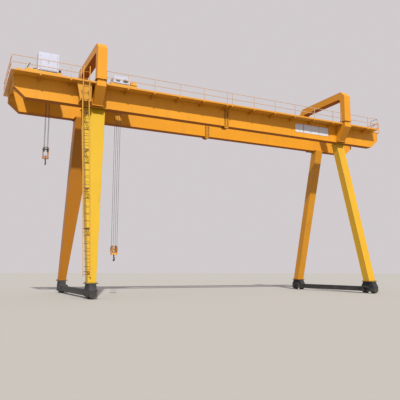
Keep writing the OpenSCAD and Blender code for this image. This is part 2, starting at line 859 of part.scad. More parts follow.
// The white cabinet at the front of the left trolley, with a raised door panel
module trolley_1_cabinet() {
    w = 1260;
    d = 760;
    front = -girder_y - carriage_w / 2;
    x0 = trolley_1_x - 960;
    low = deck_z + deck_t;
    frame = 80;
    panel_t = 18;
    color(cabinet_white) {
        block([x0, front, low], [x0 + w, front + d, low + cabinet_h]);
        block([x0 + frame, front - panel_t, low + frame], [x0 + w - frame, front, low + cabinet_h - frame]);
    }
}

// The right trolley's frame, with the housing of its travel drive on the deck
module trolley_2_frame() {
    housing_x = trolley_2_x + 350;
    housing_w = 420;
    housing_d = 380;
    housing_h = 300;
    bevel = 70;
    color(steel_yellow) {
        trolley_frame(trolley_2_x, trolley_2_left, trolley_2_right);
        translate([0, -girder_y - carriage_w / 2 + housing_d / 2, deck_z + deck_t]) along_y(housing_d) polygon([
            [housing_x, 0], [housing_x + housing_w, 0], [housing_x + housing_w, housing_h - bevel],
            [housing_x + housing_w - bevel, housing_h], [housing_x + bevel, housing_h],
            [housing_x, housing_h - bevel]]);
    }
}

module trolley_2_wheels() {
    trolley_wheels(trolley_2_x, trolley_2_left, trolley_2_right);
}

module trolley_2_winch() {
    winch(trolley_2_x, sheave_2_r, 960);
}

// The white cover over the right trolley's front side, with a hipped top
module trolley_2_cover() {
    w = 1150;
    d = 700;
    hip = 120;
    front = -girder_y - carriage_w / 2;
    x0 = trolley_2_x - 860;
    low = deck_z + deck_t;
    color(cabinet_white) translate([0, front + d / 2, low]) along_y(d) polygon([
        [x0, 0], [x0 + w, 0], [x0 + w, cover_h - hip], [x0 + w - hip, cover_h],
        [x0 + hip, cover_h], [x0, cover_h - hip]]);
}

// Four rope falls from the drum down to a hook block
module falls(x, spread, low) {
    color(charcoal) for (sx = [-1, 1], sy = [-1, 1])
        translate([x + sx * spread[0], sy * spread[1], low]) cylinder(d = rope_d, h = drum_z - low, $fn = 24);
}

module hoist_ropes_1() {
    falls(trolley_1_x, rope_1, block_1_top - sheave_1_r);
}

module hoist_ropes_2() {
    falls(trolley_2_x, rope_2, block_2_top - sheave_2_r);
}

// Half section of a sheave: a hub, a thin web and a rim with a groove for the rope
module sheave_section(r) {
    half = sheave_w / 2;
    mouth = rope_d / 2 + 1;
    rim = 34;
    web_half = 10;
    hub_r = 75;
    polygon([
        [0, -half], [hub_r, -half], [hub_r, -web_half], [r - rim, -web_half], [r - rim, -half],
        [r + sheave_lip, -half], [r + sheave_lip, -mouth], [r, -mouth], [r, mouth], [r + sheave_lip, mouth],
        [r + sheave_lip, half], [r - rim, half], [r - rim, web_half], [hub_r, web_half], [hub_r, half], [0, half]]);
}

// A hook block: grooved sheaves between two cheek plates, over a crosshead that carries the hook
module hook_block(x, top, h, spread, sheave_r, cheek_w, tint) {
    cheek_t = 40;
    cheek_x = spread[0] + 50;
    cut = 60;
    toe = 20;
    pin_d = 90;
    pin_out = 25;
    crosshead_w = 160;
    axle_at = top - sheave_r;
    shank_bore = shank_d + 2 * touch;
    color(tint) difference() {
        union() {
            // The cheek plates, wide at the sheaves and narrower at the crosshead
            for (s = [-1, 1])
                translate([x + s * cheek_x - cheek_t / 2, 0, 0]) along_x(cheek_t) polygon([
                    [-cheek_w / 2, axle_at - cut], [-cheek_w / 2 + cut, top - cut], [cheek_w / 2 - cut, top - cut],
                    [cheek_w / 2, axle_at - cut], [cheek_w / 4, top - h + toe], [cheek_w / 8, top - h],
                    [-cheek_w / 8, top - h], [-cheek_w / 4, top - h + toe]]);
            // The axle and two sheaves under the rope falls
            translate([x, 0, axle_at]) rotate([0, 90, 0]) {
                cylinder(d = pin_d, h = 2 * (cheek_x + cheek_t / 2 + pin_out), center = true);
                for (s = [-1, 1])
                    translate([0, 0, s * spread[0]]) rotate_extrude() sheave_section(sheave_r);
            }
            // The crosshead
            block([x - cheek_x, -crosshead_w / 2, top - h + toe],
                [x + cheek_x, crosshead_w / 2, top - h + toe + crosshead_h]);
        }
        translate([x, 0, top - h]) cylinder(d = shank_bore, h = 2 * toe + crosshead_h);
    }
}

module hook_block_1() {
    hook_block(trolley_1_x, block_1_top, block_1_h, rope_1, sheave_1_r, 380, [0.75, 0.4, 0.12]);
}

module hook_block_2() {
    hook_block(trolley_2_x, block_2_top, block_2_h, rope_2, sheave_2_r, 500, [0.95, 0.65, 0.12]);
}

// A forged hook: shank with its nut above the crosshead, and a round bowl with a tapered tip
module hook(x, crosshead_low, bowl_r, wire_r) {
    shank_l = 170;
    nut_h = 60;
    nut_d = 130;
    collar_d = 110;
    collar_h = 50;
    tip_l = 85;
    tip_r = 12;
    overlap = 8;
    nut_z = crosshead_low + crosshead_h + touch;
    centre_z = crosshead_low - shank_l - bowl_r;
    shank_low = centre_z + bowl_r - wire_r - overlap;
    open_angle = 240;
    color(bare_steel) translate([x, 0, 0]) {
        translate([0, 0, shank_low]) cylinder(d = shank_d, h = nut_z + nut_h - shank_low);
        translate([0, 0, nut_z]) cylinder(d = nut_d, h = nut_h);
        translate([0, 0, crosshead_low - touch - collar_h]) cylinder(d = collar_d, h = collar_h);
        translate([0, 0, centre_z]) rotate([0, -90, 180]) {
            rotate_extrude(angle = open_angle) translate([bowl_r, 0]) circle(r = wire_r, $fn = 32);
            rotate([0, 0, open_angle]) translate([bowl_r, -2 * overlap, 0]) rotate([-90, 0, 0])
                cylinder(r1 = wire_r - 3, r2 = tip_r, h = tip_l, $fn = 32);
        }
    }
}

module hook_1() {
    hook(trolley_1_x, block_1_top - block_1_h + 20, 110, 36);
}

module hook_2() {
    hook(trolley_2_x, block_2_top - block_2_h + 20, 120, 40);
}

front_girder_left();
front_girder_right();
rear_girder_left();
rear_girder_right();
front_trolley_rail();
rear_trolley_rail();
end_stops();
left_arch();
right_arch();
left_corbels();
right_corbels();
leg_front_left();
leg_rear_left();
leg_front_right();
leg_rear_right();
left_sill();
right_sill();
truck_front_left();
truck_rear_left();
truck_front_right();
truck_rear_right();
front_walkway();
rear_walkway();
front_railing();
rear_railing();
left_end_platform();
right_end_platform();
leg_ladder();
ladder_landing();
name_plates();
trolley_1_frame();
trolley_1_wheels();
trolley_1_winch();
trolley_1_cabinet();
hoist_ropes_1();
hook_block_1();
hook_1();
trolley_2_frame();
trolley_2_wheels();
trolley_2_winch();
trolley_2_cover();
hoist_ropes_2();
hook_block_2();
hook_2();
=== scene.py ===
import json
import math

import bpy
from mathutils import Matrix, Vector

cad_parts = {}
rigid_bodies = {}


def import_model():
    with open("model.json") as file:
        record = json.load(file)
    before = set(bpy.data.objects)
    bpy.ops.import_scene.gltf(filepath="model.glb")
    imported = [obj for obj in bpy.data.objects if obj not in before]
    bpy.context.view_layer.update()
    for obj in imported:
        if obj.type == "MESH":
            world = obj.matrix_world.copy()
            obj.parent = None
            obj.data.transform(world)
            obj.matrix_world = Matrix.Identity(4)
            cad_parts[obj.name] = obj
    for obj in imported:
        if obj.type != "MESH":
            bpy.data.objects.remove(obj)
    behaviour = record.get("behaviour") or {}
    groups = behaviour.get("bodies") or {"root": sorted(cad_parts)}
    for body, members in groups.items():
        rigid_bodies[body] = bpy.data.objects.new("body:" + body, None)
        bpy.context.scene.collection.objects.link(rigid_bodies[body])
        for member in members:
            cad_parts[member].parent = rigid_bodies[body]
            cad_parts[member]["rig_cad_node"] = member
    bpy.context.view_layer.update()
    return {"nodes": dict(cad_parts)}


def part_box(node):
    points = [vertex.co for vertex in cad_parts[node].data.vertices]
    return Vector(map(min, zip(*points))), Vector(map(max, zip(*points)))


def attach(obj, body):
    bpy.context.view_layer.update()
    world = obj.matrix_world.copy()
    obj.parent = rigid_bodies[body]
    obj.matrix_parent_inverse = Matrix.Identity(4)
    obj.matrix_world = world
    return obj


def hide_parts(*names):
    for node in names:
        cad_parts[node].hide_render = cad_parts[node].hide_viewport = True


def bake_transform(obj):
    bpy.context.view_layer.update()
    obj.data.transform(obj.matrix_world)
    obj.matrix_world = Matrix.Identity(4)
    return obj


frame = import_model()

# The set: a camera at head height in front of the left end, a pale plain floor, a pale even sky
# as fill and one soft key light high in front and a little to the left, as in the photo's daylight.

camera_place = (-17.242, -33.082, 1.626)
camera_right = (0.89992911, -0.43601364, 0.00443913)
camera_up = (-0.06459381, -0.12323904, 0.99027258)
camera_ahead = (0.43122527, 0.89146186, 0.13907018)
key_travels = (0.30, 1.0, -0.95)
key_strength = 4.8
sky_colour = (0.64, 0.60, 0.62)
floor_colour = (0.34, 0.33, 0.32)
floor_size = 500.0

scene = bpy.context.scene
scene.view_settings.view_transform = "Standard"
scene.view_settings.look = "None"

camera = bpy.data.objects.new("camera", bpy.data.cameras.new("camera"))
scene.collection.objects.link(camera)
camera.data.sensor_width = 36.0
camera.data.lens = 45.185
camera.data.clip_end = 1000.0
turned = Matrix((camera_right, camera_up, [-a for a in camera_ahead])).transposed()
camera.matrix_world = Matrix.Translation(camera_place) @ turned.to_4x4()
scene.camera = camera

key = bpy.data.objects.new("key_light", bpy.data.lights.new("key_light", "SUN"))
scene.collection.objects.link(key)
key.data.energy = key_strength
key.data.angle = math.radians(1.5)
key.data.color = (1.0, 0.98, 0.87)
key.rotation_euler = Vector(key_travels).to_track_quat("-Z", "Y").to_euler()

sky = bpy.data.worlds.new("pale_sky")
scene.world = sky
sky.use_nodes = True
sky.node_tree.nodes["Background"].inputs["Color"].default_value = (*sky_colour, 1.0)


class Wire:
    """One value or colour on its way through a material's nodes; arithmetic on it adds Math nodes."""

    def __init__(self, tree, out=None):
        self.tree, self.out = tree, out

    def node(self, kind, settings=None, inputs=None, output=0):
        made = self.tree.nodes.new(kind)
        for name, value in (settings or {}).items():
            setattr(made, name, value)
        for name, value in (inputs or {}).items():
            if isinstance(value, Wire):
                self.tree.links.new(value.out, made.inputs[name])
            else:
                made.inputs[name].default_value = value
        return Wire(self.tree, made.outputs[output])

    def math(self, operation, other, swapped=False):
        first, second = (other, self) if swapped else (self, other)
        return self.node("ShaderNodeMath", {"operation": operation}, {0: first, 1: second})

    def __add__(self, other):
        return self.math("ADD", other)

    def __radd__(self, other):
        return self.math("ADD", other, True)

    def __sub__(self, other):
        return self.math("SUBTRACT", other)

    def __rsub__(self, other):
        return self.math("SUBTRACT", other, True)

    def __mul__(self, other):
        return self.math("MULTIPLY", other)

    def __rmul__(self, other):
        return self.math("MULTIPLY", other, True)

    def __mod__(self, other):
        return self.math("FLOORED_MODULO", other)


def new_finish(name, metallic=0.0, coat=0.0):
    """A material with its surface shader; gives the material, its shader and a wire to start from."""
    made = bpy.data.materials.new(name)
    made.use_nodes = True
    shader = made.node_tree.nodes["Principled BSDF"]
    shader.inputs["Metallic"].default_value = metallic
    shader.inputs["Coat Weight"].default_value = coat
    return made, shader, Wire(made.node_tree)


def object_place(wire):
    """The point on the piece, in metres, and its three parts."""
    place = wire.node("ShaderNodeTexCoord", output="Object")
    parts = place.node("ShaderNodeSeparateXYZ", inputs={0: place})
    x, y, z = (Wire(wire.tree, parts.out.node.outputs[i]) for i in range(3))
    return place, x, y, z


def noise(place, scale, detail=3.0, stretch=(1, 1, 1)):
    """Cloudy noise on the object's own coordinates, stretched where its scale differs along an axis."""
    drawn = place.node("ShaderNodeMapping", inputs={"Vector": place, "Scale": stretch})
    return drawn.node("ShaderNodeTexNoise", inputs={"Vector": drawn, "Scale": scale, "Detail": detail})


def step(value, low, high):
    """0 below low, 1 above high and a soft change between them."""
    return value.node("ShaderNodeMapRange", {"interpolation_type": "SMOOTHSTEP"},
                      {"Value": value, "From Min": low, "From Max": high})


def tint(share, first, second):
    """A colour that goes from the first to the second as share goes from 0 to 1."""
    colours = {name: c if isinstance(c, Wire) else (*c, 1.0) for name, c in ((6, first), (7, second))}
    return share.node("ShaderNodeMix", {"data_type": "RGBA"}, {0: share, **colours}, output=2)


def set_surface(wire, shader, colour, roughness, height=None, distance=0.01, strength=1.0):
    """Puts a varying colour and roughness, and a height as bump, on the surface shader."""
    wire.tree.links.new(colour.out, shader.inputs["Base Color"])
    wire.tree.links.new(roughness.out, shader.inputs["Roughness"])
    if height is not None:
        bump = height.node("ShaderNodeBump",
                inputs={"Height": height, "Distance": distance, "Strength": strength})
        wire.tree.links.new(bump.out, shader.inputs["Normal"])


def start_piece():
    """Leaves nothing selected, so that the next operator works on the new shape alone."""
    if bpy.context.mode != "OBJECT":
        bpy.ops.object.mode_set(mode="OBJECT")
    bpy.ops.object.select_all(action="DESELECT")


def settle(piece):
    """Puts a piece's place, turn and size into its mesh."""
    start_piece()
    piece.select_set(True)
    bpy.context.view_layer.objects.active = piece
    bpy.ops.object.transform_apply(location=True, rotation=True, scale=True)
    return piece


start_piece()
bpy.ops.mesh.primitive_plane_add(size=floor_size, location=(0, 0, 0))
floor = settle(bpy.context.object)
floor.name = "floor"
finish, shader, wire = new_finish("plain_floor")
place, x, y, z = object_place(wire)
cloud = noise(place, 0.05)
set_surface(wire, shader, tint(cloud, floor_colour, [c * 1.06 for c in floor_colour]), 0.8 + 0.1 * cloud)
floor.data.materials.append(finish)


# The girders: two box girders of welded steel plate, each in two halves that are bolted together
# through pairs of joint ribs in the middle. Shop welded, then sprayed in yellow enamel.

girder_web = 1.84
girder_inner = 1.34
girder_under = 12.08
girder_top = 13.46
girder_half_length = 14.75
girder_flange = 0.024
weld_bead = 0.011
plate_joint_pitch = 3.6
splice_face = 0.125
splice_inner = 0.095
splice_lip = 0.075
splice_bolt_pitch = 0.13
yellow = (0.58, 0.245, 0.014)
old_dirt = (0.20, 0.11, 0.05)
rust = (0.17, 0.055, 0.02)


def enamel(name, colour, seam_pitch=0.0, dirt=0.35, gloss=0.36, under_shade=0.9):
    """Sprayed enamel on plate: uneven tone, rain streaks, painted shade on downward faces, small rust spots,
    faint dents.
    """
    made, shader, wire = new_finish(name)
    shader.inputs["Specular IOR Level"].default_value = 0.25
    place, x, y, z = object_place(wire)
    cloud = noise(place, 0.45, 4.0)
    grain = noise(place, 7.0, 3.0)
    streak = step(noise(place, 1.0, 4.0, (3.5, 3.5, 0.16)), 0.50, 0.78)
    spots = step(noise(place, 11.0, 5.0), 0.70, 0.78) * step(cloud, 0.50, 0.66)
    facing = place.node("ShaderNodeNewGeometry", output="Normal")
    down = facing.node("ShaderNodeSeparateXYZ", inputs={0: facing}, output=2) * -1.0
    tone = tint(cloud, [c * 0.90 for c in colour], [min(1.0, c * 1.08) for c in colour])
    tone = tint(streak * dirt * step(grain, 0.25, 0.75), tone, old_dirt)
    # Painted shade: faces that look downwards go towards a deep brown by their normal, standing in for the
    # shade under girders, beams and legs
    below = [c * share for c, share in zip(colour, (0.46, 0.28, 0.25))]
    under = step(down, 0.3, 1.0)
    tone = tint(under * under_shade, tone, below)
    height = cloud * 0.6 + grain * 0.02
    if seam_pitch:
        off = ((x + 0.5 * seam_pitch) % seam_pitch) - 0.5 * seam_pitch
        seam = 1.0 - step(off.math("ABSOLUTE", 0.0), 0.004, 0.014)
        tone = tint(seam * 0.22, tone, old_dirt)
        height = height + seam * 0.3
    tone = tint(spots, tone, rust)
    rough = gloss + 0.16 * cloud + 0.10 * streak + 0.25 * spots + 0.45 * under
    set_surface(wire, shader, tone, rough, height, distance=0.012)
    return made


def paint(obj, made):
    """Gives a piece or CAD node one finish all over."""
    obj.data.materials.clear()
    obj.data.materials.append(made)
    "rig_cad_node" not in obj


def break_edges(piece, bevel):
    """Cuts a small bevel along every edge of the shape just made."""
    if bevel:
        bpy.ops.object.mode_set(mode="EDIT")
        bpy.ops.mesh.select_all(action="SELECT")
        bpy.ops.mesh.bevel(offset=bevel, segments=1, affect="EDGES")
        bpy.ops.object.mode_set(mode="OBJECT")
    return piece


def block(low, high, bevel=0.0):
    """A plate or bar between two corners, its edges broken by a small bevel."""
    start_piece()
    low, high = Vector(low), Vector(high)
    bpy.ops.mesh.primitive_cube_add(size=1.0, location=(low + high) / 2, scale=high - low)
    return settle(break_edges(bpy.context.object, bevel))


def bar(first, second, radius, sides=12, bevel=0.0):
    """A round or many-sided bar between two points, its end edges broken by a small bevel."""
    start_piece()
    first, second = Vector(first), Vector(second)
    along = second - first
    bpy.ops.mesh.primitive_cylinder_add(
        vertices=sides, radius=radius, depth=along.length, location=(first + second) / 2,
        rotation=along.to_track_quat("Z", "Y").to_euler())
    return settle(break_edges(bpy.context.object, bevel))


def join(name, parts):
    """Makes one piece of several shapes that are welded or bolted together."""
    start_piece()
    for part in parts:
        part.select_set(True)
    bpy.context.view_layer.objects.active = parts[0]
    if len(parts) > 1:
        bpy.ops.object.join()
    piece = bpy.context.object
    piece.name = name
    piece.data.name = name
    return piece


def copies(pattern, places):
    """Copies a shape to each place, a Matrix or a point, every copy with its own mesh."""
    made = []
    for where in places:
        move = where if isinstance(where, Matrix) else Matrix.Translation(where)
        twin = pattern.copy()
        twin.data = pattern.data.copy()
        twin.data.transform(move)
        scene.collection.objects.link(twin)
        made.append(twin)
    return made


def discard(pattern):
    bpy.data.objects.remove(pattern, do_unlink=True)


def mirrored(piece, name, axis):
    """The same piece on the other side of the middle plane, with its faces turned the right way."""
    twin = piece.copy()
    twin.data = piece.data.copy()
    twin.name = name
    flip = Matrix.Identity(4)
    flip[axis][axis] = -1.0
    twin.data.transform(flip)
    twin.data.flip_normals()
    scene.collection.objects.link(twin)
    return twin


girder_enamel = enamel("girder_enamel", yellow, seam_pitch=plate_joint_pitch)
for name in ("front_girder_left", "front_girder_right", "rear_girder_left", "rear_girder_right"):
    paint(frame["nodes"][name], girder_enamel)

# Weld beads along the girder's corners and across the butt joints of its web plates
beads = []
bead_end = girder_half_length - 0.75
for web in (girder_web, girder_inner):
    beads.append(bar((-bead_end, -web, girder_under + girder_flange),
            (bead_end, -web, girder_under + girder_flange),
                     weld_bead, 6))
for side in (-1, 1):
    for i in range(4):
        x = side * (0.5 + i) * plate_joint_pitch
        beads.append(bar((x, -girder_web, girder_under + 0.03), (x, -girder_web, girder_top - 0.06), 0.006,
                6))
        beads.append(bar((x, -girder_inner, girder_under + 0.03), (x, -girder_inner, girder_top - 0.03),
                0.006, 6))
front_welds = join("front_girder_welds", beads)
rear_welds = mirrored(front_welds, "rear_girder_welds", 1)
for piece in (front_welds, rear_welds):
    paint(piece, girder_enamel)
    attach(piece, "gantry")


def steel_finish(name, colour, worn, roughness=0.5, metallic=0.8):
    """Bare or thinly painted steel with rubbed patches and brown spots scattered by noise."""
    made, shader, wire = new_finish(name, metallic=metallic)
    place, x, y, z = object_place(wire)
    cloud = noise(place, 3.0, 5.0)
    grain = noise(place, 40.0, 2.0)
    tone = tint(step(cloud, 0.45, 0.70), colour, worn)
    tone = tint(step(noise(place, 9.0, 4.0), 0.58, 0.75) * 0.7, tone, rust)
    set_surface(wire, shader, tone, roughness + 0.3 * grain - 0.1 * cloud, cloud + grain * 0.3,
                distance=0.002)
    return made


bolt_steel = steel_finish("bolt_steel", (0.085, 0.036, 0.022), (0.19, 0.10, 0.06), 0.55, 0.3)


def make_bolt(head, length):
    """A hexagon bolt along Z with its washer below the head, the seat at z = 0."""
    return join("bolt", [
        bar((0, 0, -0.002), (0, 0, head * 0.12), head * 1.15, 12),
        bar((0, 0, head * 0.10), (0, 0, head * 0.75), head, 6, head * 0.08),
        bar((0, 0, head * 0.7), (0, 0, length), head * 0.5, 8, head * 0.08)])


def bolts(name, seats, head=0.03, length=0.036, body="gantry"):
    """A group of like bolts; a seat is the point under the washer and the way the bolt points."""
    pattern = make_bolt(head, length)
    places = [Matrix.Translation(at) @ Vector(way).to_track_quat("Z", "Y").to_matrix().to_4x4() for at,
              way in seats]
    group = join(name, copies(pattern, places))
    discard(pattern)
    paint(group, bolt_steel)
    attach(group, body)
    return group


# The joint ribs' bolts outside both webs and under the girder, with small stiffeners between them
seats, ribs = [], []
rib_reach = 0.20
rib_t = 0.012
rib_cut = 0.045
splice_bolt_in = 0.045
bolt_heights = [girder_under + 0.13 + i * splice_bolt_pitch for i in range(10)]
for side in (-1, 1):
    for face in (-1, 1):
        for z in bolt_heights:
            for y in (girder_web + splice_bolt_in, girder_inner - splice_bolt_in):
                seats.append(((face * splice_face, side * y, z), (face, 0, 0)))
                seats.append(((face * splice_inner, side * y, z), (-face, 0, 0)))
        for i in range(5):
            y = girder_inner + 0.05 + i * 0.10
            seats.append(((face * splice_face, side * y, girder_under - 0.05), (face, 0, 0)))
for z in [h + splice_bolt_pitch / 2 for h in bolt_heights[:-1:2]]:
    for low_y, high_y in ((-girder_web - splice_lip + 0.01, -girder_web),
            (-girder_inner, -girder_inner + splice_lip - 0.01)):
        ribs.append(block((-rib_reach, low_y, z), (-splice_face, high_y, z + rib_t)))
        ribs.append(block((splice_face, low_y, z), (rib_reach, high_y, z + rib_t)))
for y in (-girder_web + 0.02, -(girder_web + girder_inner) / 2, -girder_inner - 0.03):
    for low_x, high_x in ((-rib_reach, -splice_face), (splice_face, rib_reach)):
        ribs.append(block((low_x, y, girder_under - splice_lip - 0.03), (high_x, y + rib_t, girder_under)))
for rib in ribs:
    # The corner away from the girder and from the flange is cut off
    for v in rib.data.vertices:
        away = abs(abs(v.co.x) - rib_reach) < 0.001
        if away and v.co.z > girder_under and abs(v.co.y + girder_web + splice_lip - 0.01) < 0.001:
            v.co.y += rib_cut
        if away and v.co.z > girder_under and abs(v.co.y + girder_inner - splice_lip + 0.01) < 0.001:
            v.co.y -= rib_cut
        if away and v.co.z < girder_under - 0.05:
            v.co.z += 0.07
front_ribs = join("front_splice_ribs", ribs)
rear_ribs = mirrored(front_ribs, "rear_splice_ribs", 1)
for piece in (front_ribs, rear_ribs):
    paint(piece, girder_enamel)
    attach(piece, "gantry")
bolts("splice_bolts", seats, head=0.030, length=0.05)


# The trolley rails: rolled rail steel with a bright running face, held on the girders' top plates
# by pairs of pressed clips with one bolt each.

rail_y = 1.59
rail_top = 13.54
clip_pitch = 0.70

rail_steel, shader, wire = new_finish("rail_steel", metallic=0.9)
place, x, y, z = object_place(wire)
cloud = noise(place, 4.0, 5.0, (0.3, 1, 1))
bright = step(z, rail_top - 0.008, rail_top - 0.001)
tone = tint(bright, tint(cloud, (0.13, 0.05, 0.025), (0.24, 0.11, 0.06)), (0.55, 0.53, 0.50))
set_surface(wire, shader, tone, 0.75 - 0.45 * bright + 0.15 * cloud, cloud, distance=0.002)
for name in ("front_trolley_rail", "rear_trolley_rail"):
    paint(frame["nodes"][name], rail_steel)

clip = join("rail_clip", [
    block((-0.045, 0.045, girder_top - 0.002), (0.045, 0.115, girder_top + 0.020), 0.006),
    block((-0.035, 0.035, girder_top + 0.016), (0.035, 0.080, girder_top + 0.030), 0.005)])
clip_bolt = make_bolt(0.018, 0.03)
clip_bolt.data.transform(Matrix.Translation((0, 0.093, girder_top + 0.018)))
pattern = join("rail_clip", [clip, clip_bolt])
half_turn = Matrix.Rotation(math.pi, 4, "Z")
clip_row = [-14.1 + i * clip_pitch for i in range(41) if abs(-14.1 + i * clip_pitch) > 0.12]
for side, label in ((-1, "front"), (1, "rear")):
    places = [Matrix.Translation((x, side * rail_y, 0)) @ turn for x in clip_row
              for turn in (Matrix.Identity(4), half_turn)]
    clips = join(label + "_rail_clips", copies(pattern, places))
    paint(clips, bolt_steel)
    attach(clips, "gantry")
discard(pattern)


# The end stops: welded plate brackets on the rails' ends, with a rubber buffer bolted to each.

stop_enamel = enamel("stop_enamel", (0.56, 0.27, 0.03), dirt=0.5)
paint(frame["nodes"]["end_stops"], stop_enamel)

rubber, shader, wire = new_finish("buffer_rubber")
place, x, y, z = object_place(wire)
dust = noise(place, 14.0, 4.0)
set_surface(wire, shader, tint(step(dust, 0.45, 0.8), (0.018, 0.018, 0.02), (0.09, 0.08, 0.07)),
            0.7 + 0.2 * dust,
            dust, distance=0.002)

stop_face = 14.40
buffer_z = 13.8303
buffers = []
for end in (-1, 1):
    for side in (-1, 1):
        sleeve = bar((end * (stop_face - 0.002), side * rail_y, buffer_z),
                (end * (stop_face - 0.104), side * rail_y, buffer_z),
                     0.068, 24, 0.006)
        collar = bar((end * (stop_face - 0.001), side * rail_y, buffer_z),
                (end * (stop_face - 0.020), side * rail_y, buffer_z),
                     0.078, 24, 0.003)
        buffers += [sleeve, collar]
piece = join("stop_buffers", buffers)
paint(piece, rubber)
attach(piece, "gantry")


# The saddle arches: rectangular box frames of welded plate that span both girders, each bolted
# to its corbels with a square joint plate under either post.

arch_middles = {"left": -9.60, "right": 10.58}
arch_half_w = 0.30
arch_y = 2.675
arch_half_d = 0.25
joint_z = 13.68
joint_t = 0.04
joint_half_x = arch_half_w + 0.04
joint_half_y = arch_half_d + 0.04

arch_enamel = enamel("arch_enamel", yellow, dirt=0.30)
for name in ("left_arch", "right_arch", "left_corbels", "right_corbels"):
    paint(frame["nodes"][name], arch_enamel)

for label, middle in arch_middles.items():
    seats = []
    for side in (-1, 1):
        for i in range(5):
            along = middle + (i - 2) * 0.155
            for edge in (-1, 1):
                seats.append(((along, side * arch_y + edge * (joint_half_y - 0.018), joint_z + joint_t),
                        (0, 0, 1)))
                seats.append(((along, side * arch_y + edge * (joint_half_y - 0.018), joint_z - joint_t),
                        (0, 0, -1)))
        for i in range(3):
            across = side * arch_y + (i - 1) * 0.17
            for edge in (-1, 1):
                seats.append(((middle + edge * (joint_half_x - 0.018), across, joint_z + joint_t), (0, 0, 1)))
                seats.append(((middle + edge * (joint_half_x - 0.018), across, joint_z - joint_t),
                        (0, 0, -1)))
    bolts(label + "_arch_bolts", seats, head=0.015, length=0.018)

# Weld beads up the posts' corners and along the edges of the arch beam
arch_top = 16.14
arch_under = 15.58
arch_bevel = 0.40
arch_bead = 0.008
bead_top = arch_top - arch_bead
for label, middle in arch_middles.items():
    beads = []
    for edge in (-1, 1):
        x = middle + edge * arch_half_w
        for side in (-1, 1):
            outer = side * (arch_y + arch_half_d)
            beads.append(bar((x, outer, joint_z + joint_t), (x, outer, bead_top - arch_bevel), arch_bead, 6))
            beads.append(bar((x, outer, bead_top - arch_bevel), (x, outer - side * arch_bevel, bead_top),
                    arch_bead, 6))
            inner = side * (arch_y - arch_half_d)
            beads.append(bar((x, inner, joint_z + joint_t), (x, inner, arch_under - 0.24), arch_bead, 6))
        flat_half = arch_y + arch_half_d - arch_bevel
        beads.append(bar((x, -flat_half, bead_top), (x, flat_half, bead_top), arch_bead, 6))
    piece = join(label + "_arch_welds", beads)
    # The beads lie just inside the arch's own box
    piece.data.transform(Matrix.Translation((middle, 0, 0)) @ Matrix.Diagonal((0.995, 1, 1, 1))
            @ Matrix.Translation((-middle, 0, 0)))
    paint(piece, arch_enamel)
    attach(piece, "gantry")


# The corbels: tapered welded brackets outside the girders' webs; each foot plate is bolted to the
# bottom flange and a column of bolts holds the bracket's back plate to the web.

corbel_back_half = arch_half_w + 0.10
corbel_back_t = 0.018
corbel_foot_z = girder_under + girder_flange
for label, middle in arch_middles.items():
    plates, seats = [], []
    for side in (-1, 1):
        low_y, high_y = sorted((side * girder_web, side * (girder_web + corbel_back_t)))
        for edge in (-1, 1):
            low_x, high_x = sorted((middle + edge * arch_half_w, middle + edge * corbel_back_half))
            plates.append(block((low_x, low_y, corbel_foot_z + 0.04), (high_x, high_y, girder_top - 0.08),
                    0.004))
            for i in range(6):
                seats.append(((middle + edge * (arch_half_w + 0.06), side * (girder_web + corbel_back_t),
                        corbel_foot_z + 0.13 + i * 0.19),
                              (0, side, 0)))
            seats.append(((middle + edge * 0.2, side * (girder_web + 0.29), corbel_foot_z + 0.04),
                    (0, side * 0.001, 1)))
            seats.append(((middle + edge * 0.2, side * (girder_web + 0.29), corbel_foot_z),
                    (0, side * 0.001, -1)))
    piece = join(label + "_corbel_plates", plates)
    paint(piece, arch_enamel)
    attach(piece, "gantry")
    bolts(label + "_corbel_bolts", seats, head=0.026, length=0.034)


# The legs: tapered box legs of welded plate, wide ones at the left and slender ones at the right,
# bolted to the girders' undersides by head plates and to the trucks by foot plates.

leg_yellow = (0.47, 0.285, 0.008)
leg_right_yellow = (0.51, 0.285, 0.016)
# Painted shade: the rear legs take darker copies of the leg enamel, for the shade their faces are in
leg_rear_shaded_yellow = (0.36, 0.135, 0.010)
leg_rear_right_shaded_yellow = (0.50, 0.215, 0.014)
leg_base = 0.89
left_leg_enamel = enamel("left_leg_enamel", leg_yellow, dirt=0.30, gloss=0.33)
right_leg_enamel = enamel("right_leg_enamel", leg_right_yellow, dirt=0.34)
rear_left_shaded_enamel = enamel("rear_left_leg_shaded_enamel", leg_rear_shaded_yellow, dirt=0.34)
rear_right_shaded_enamel = enamel("rear_right_leg_shaded_enamel", leg_rear_right_shaded_yellow, dirt=0.34)
for name, coat in (("leg_front_left", left_leg_enamel), ("leg_front_right", right_leg_enamel),
                   ("leg_rear_left", rear_left_shaded_enamel), ("leg_rear_right", rear_right_shaded_enamel)):
    paint(frame["nodes"][name], coat)

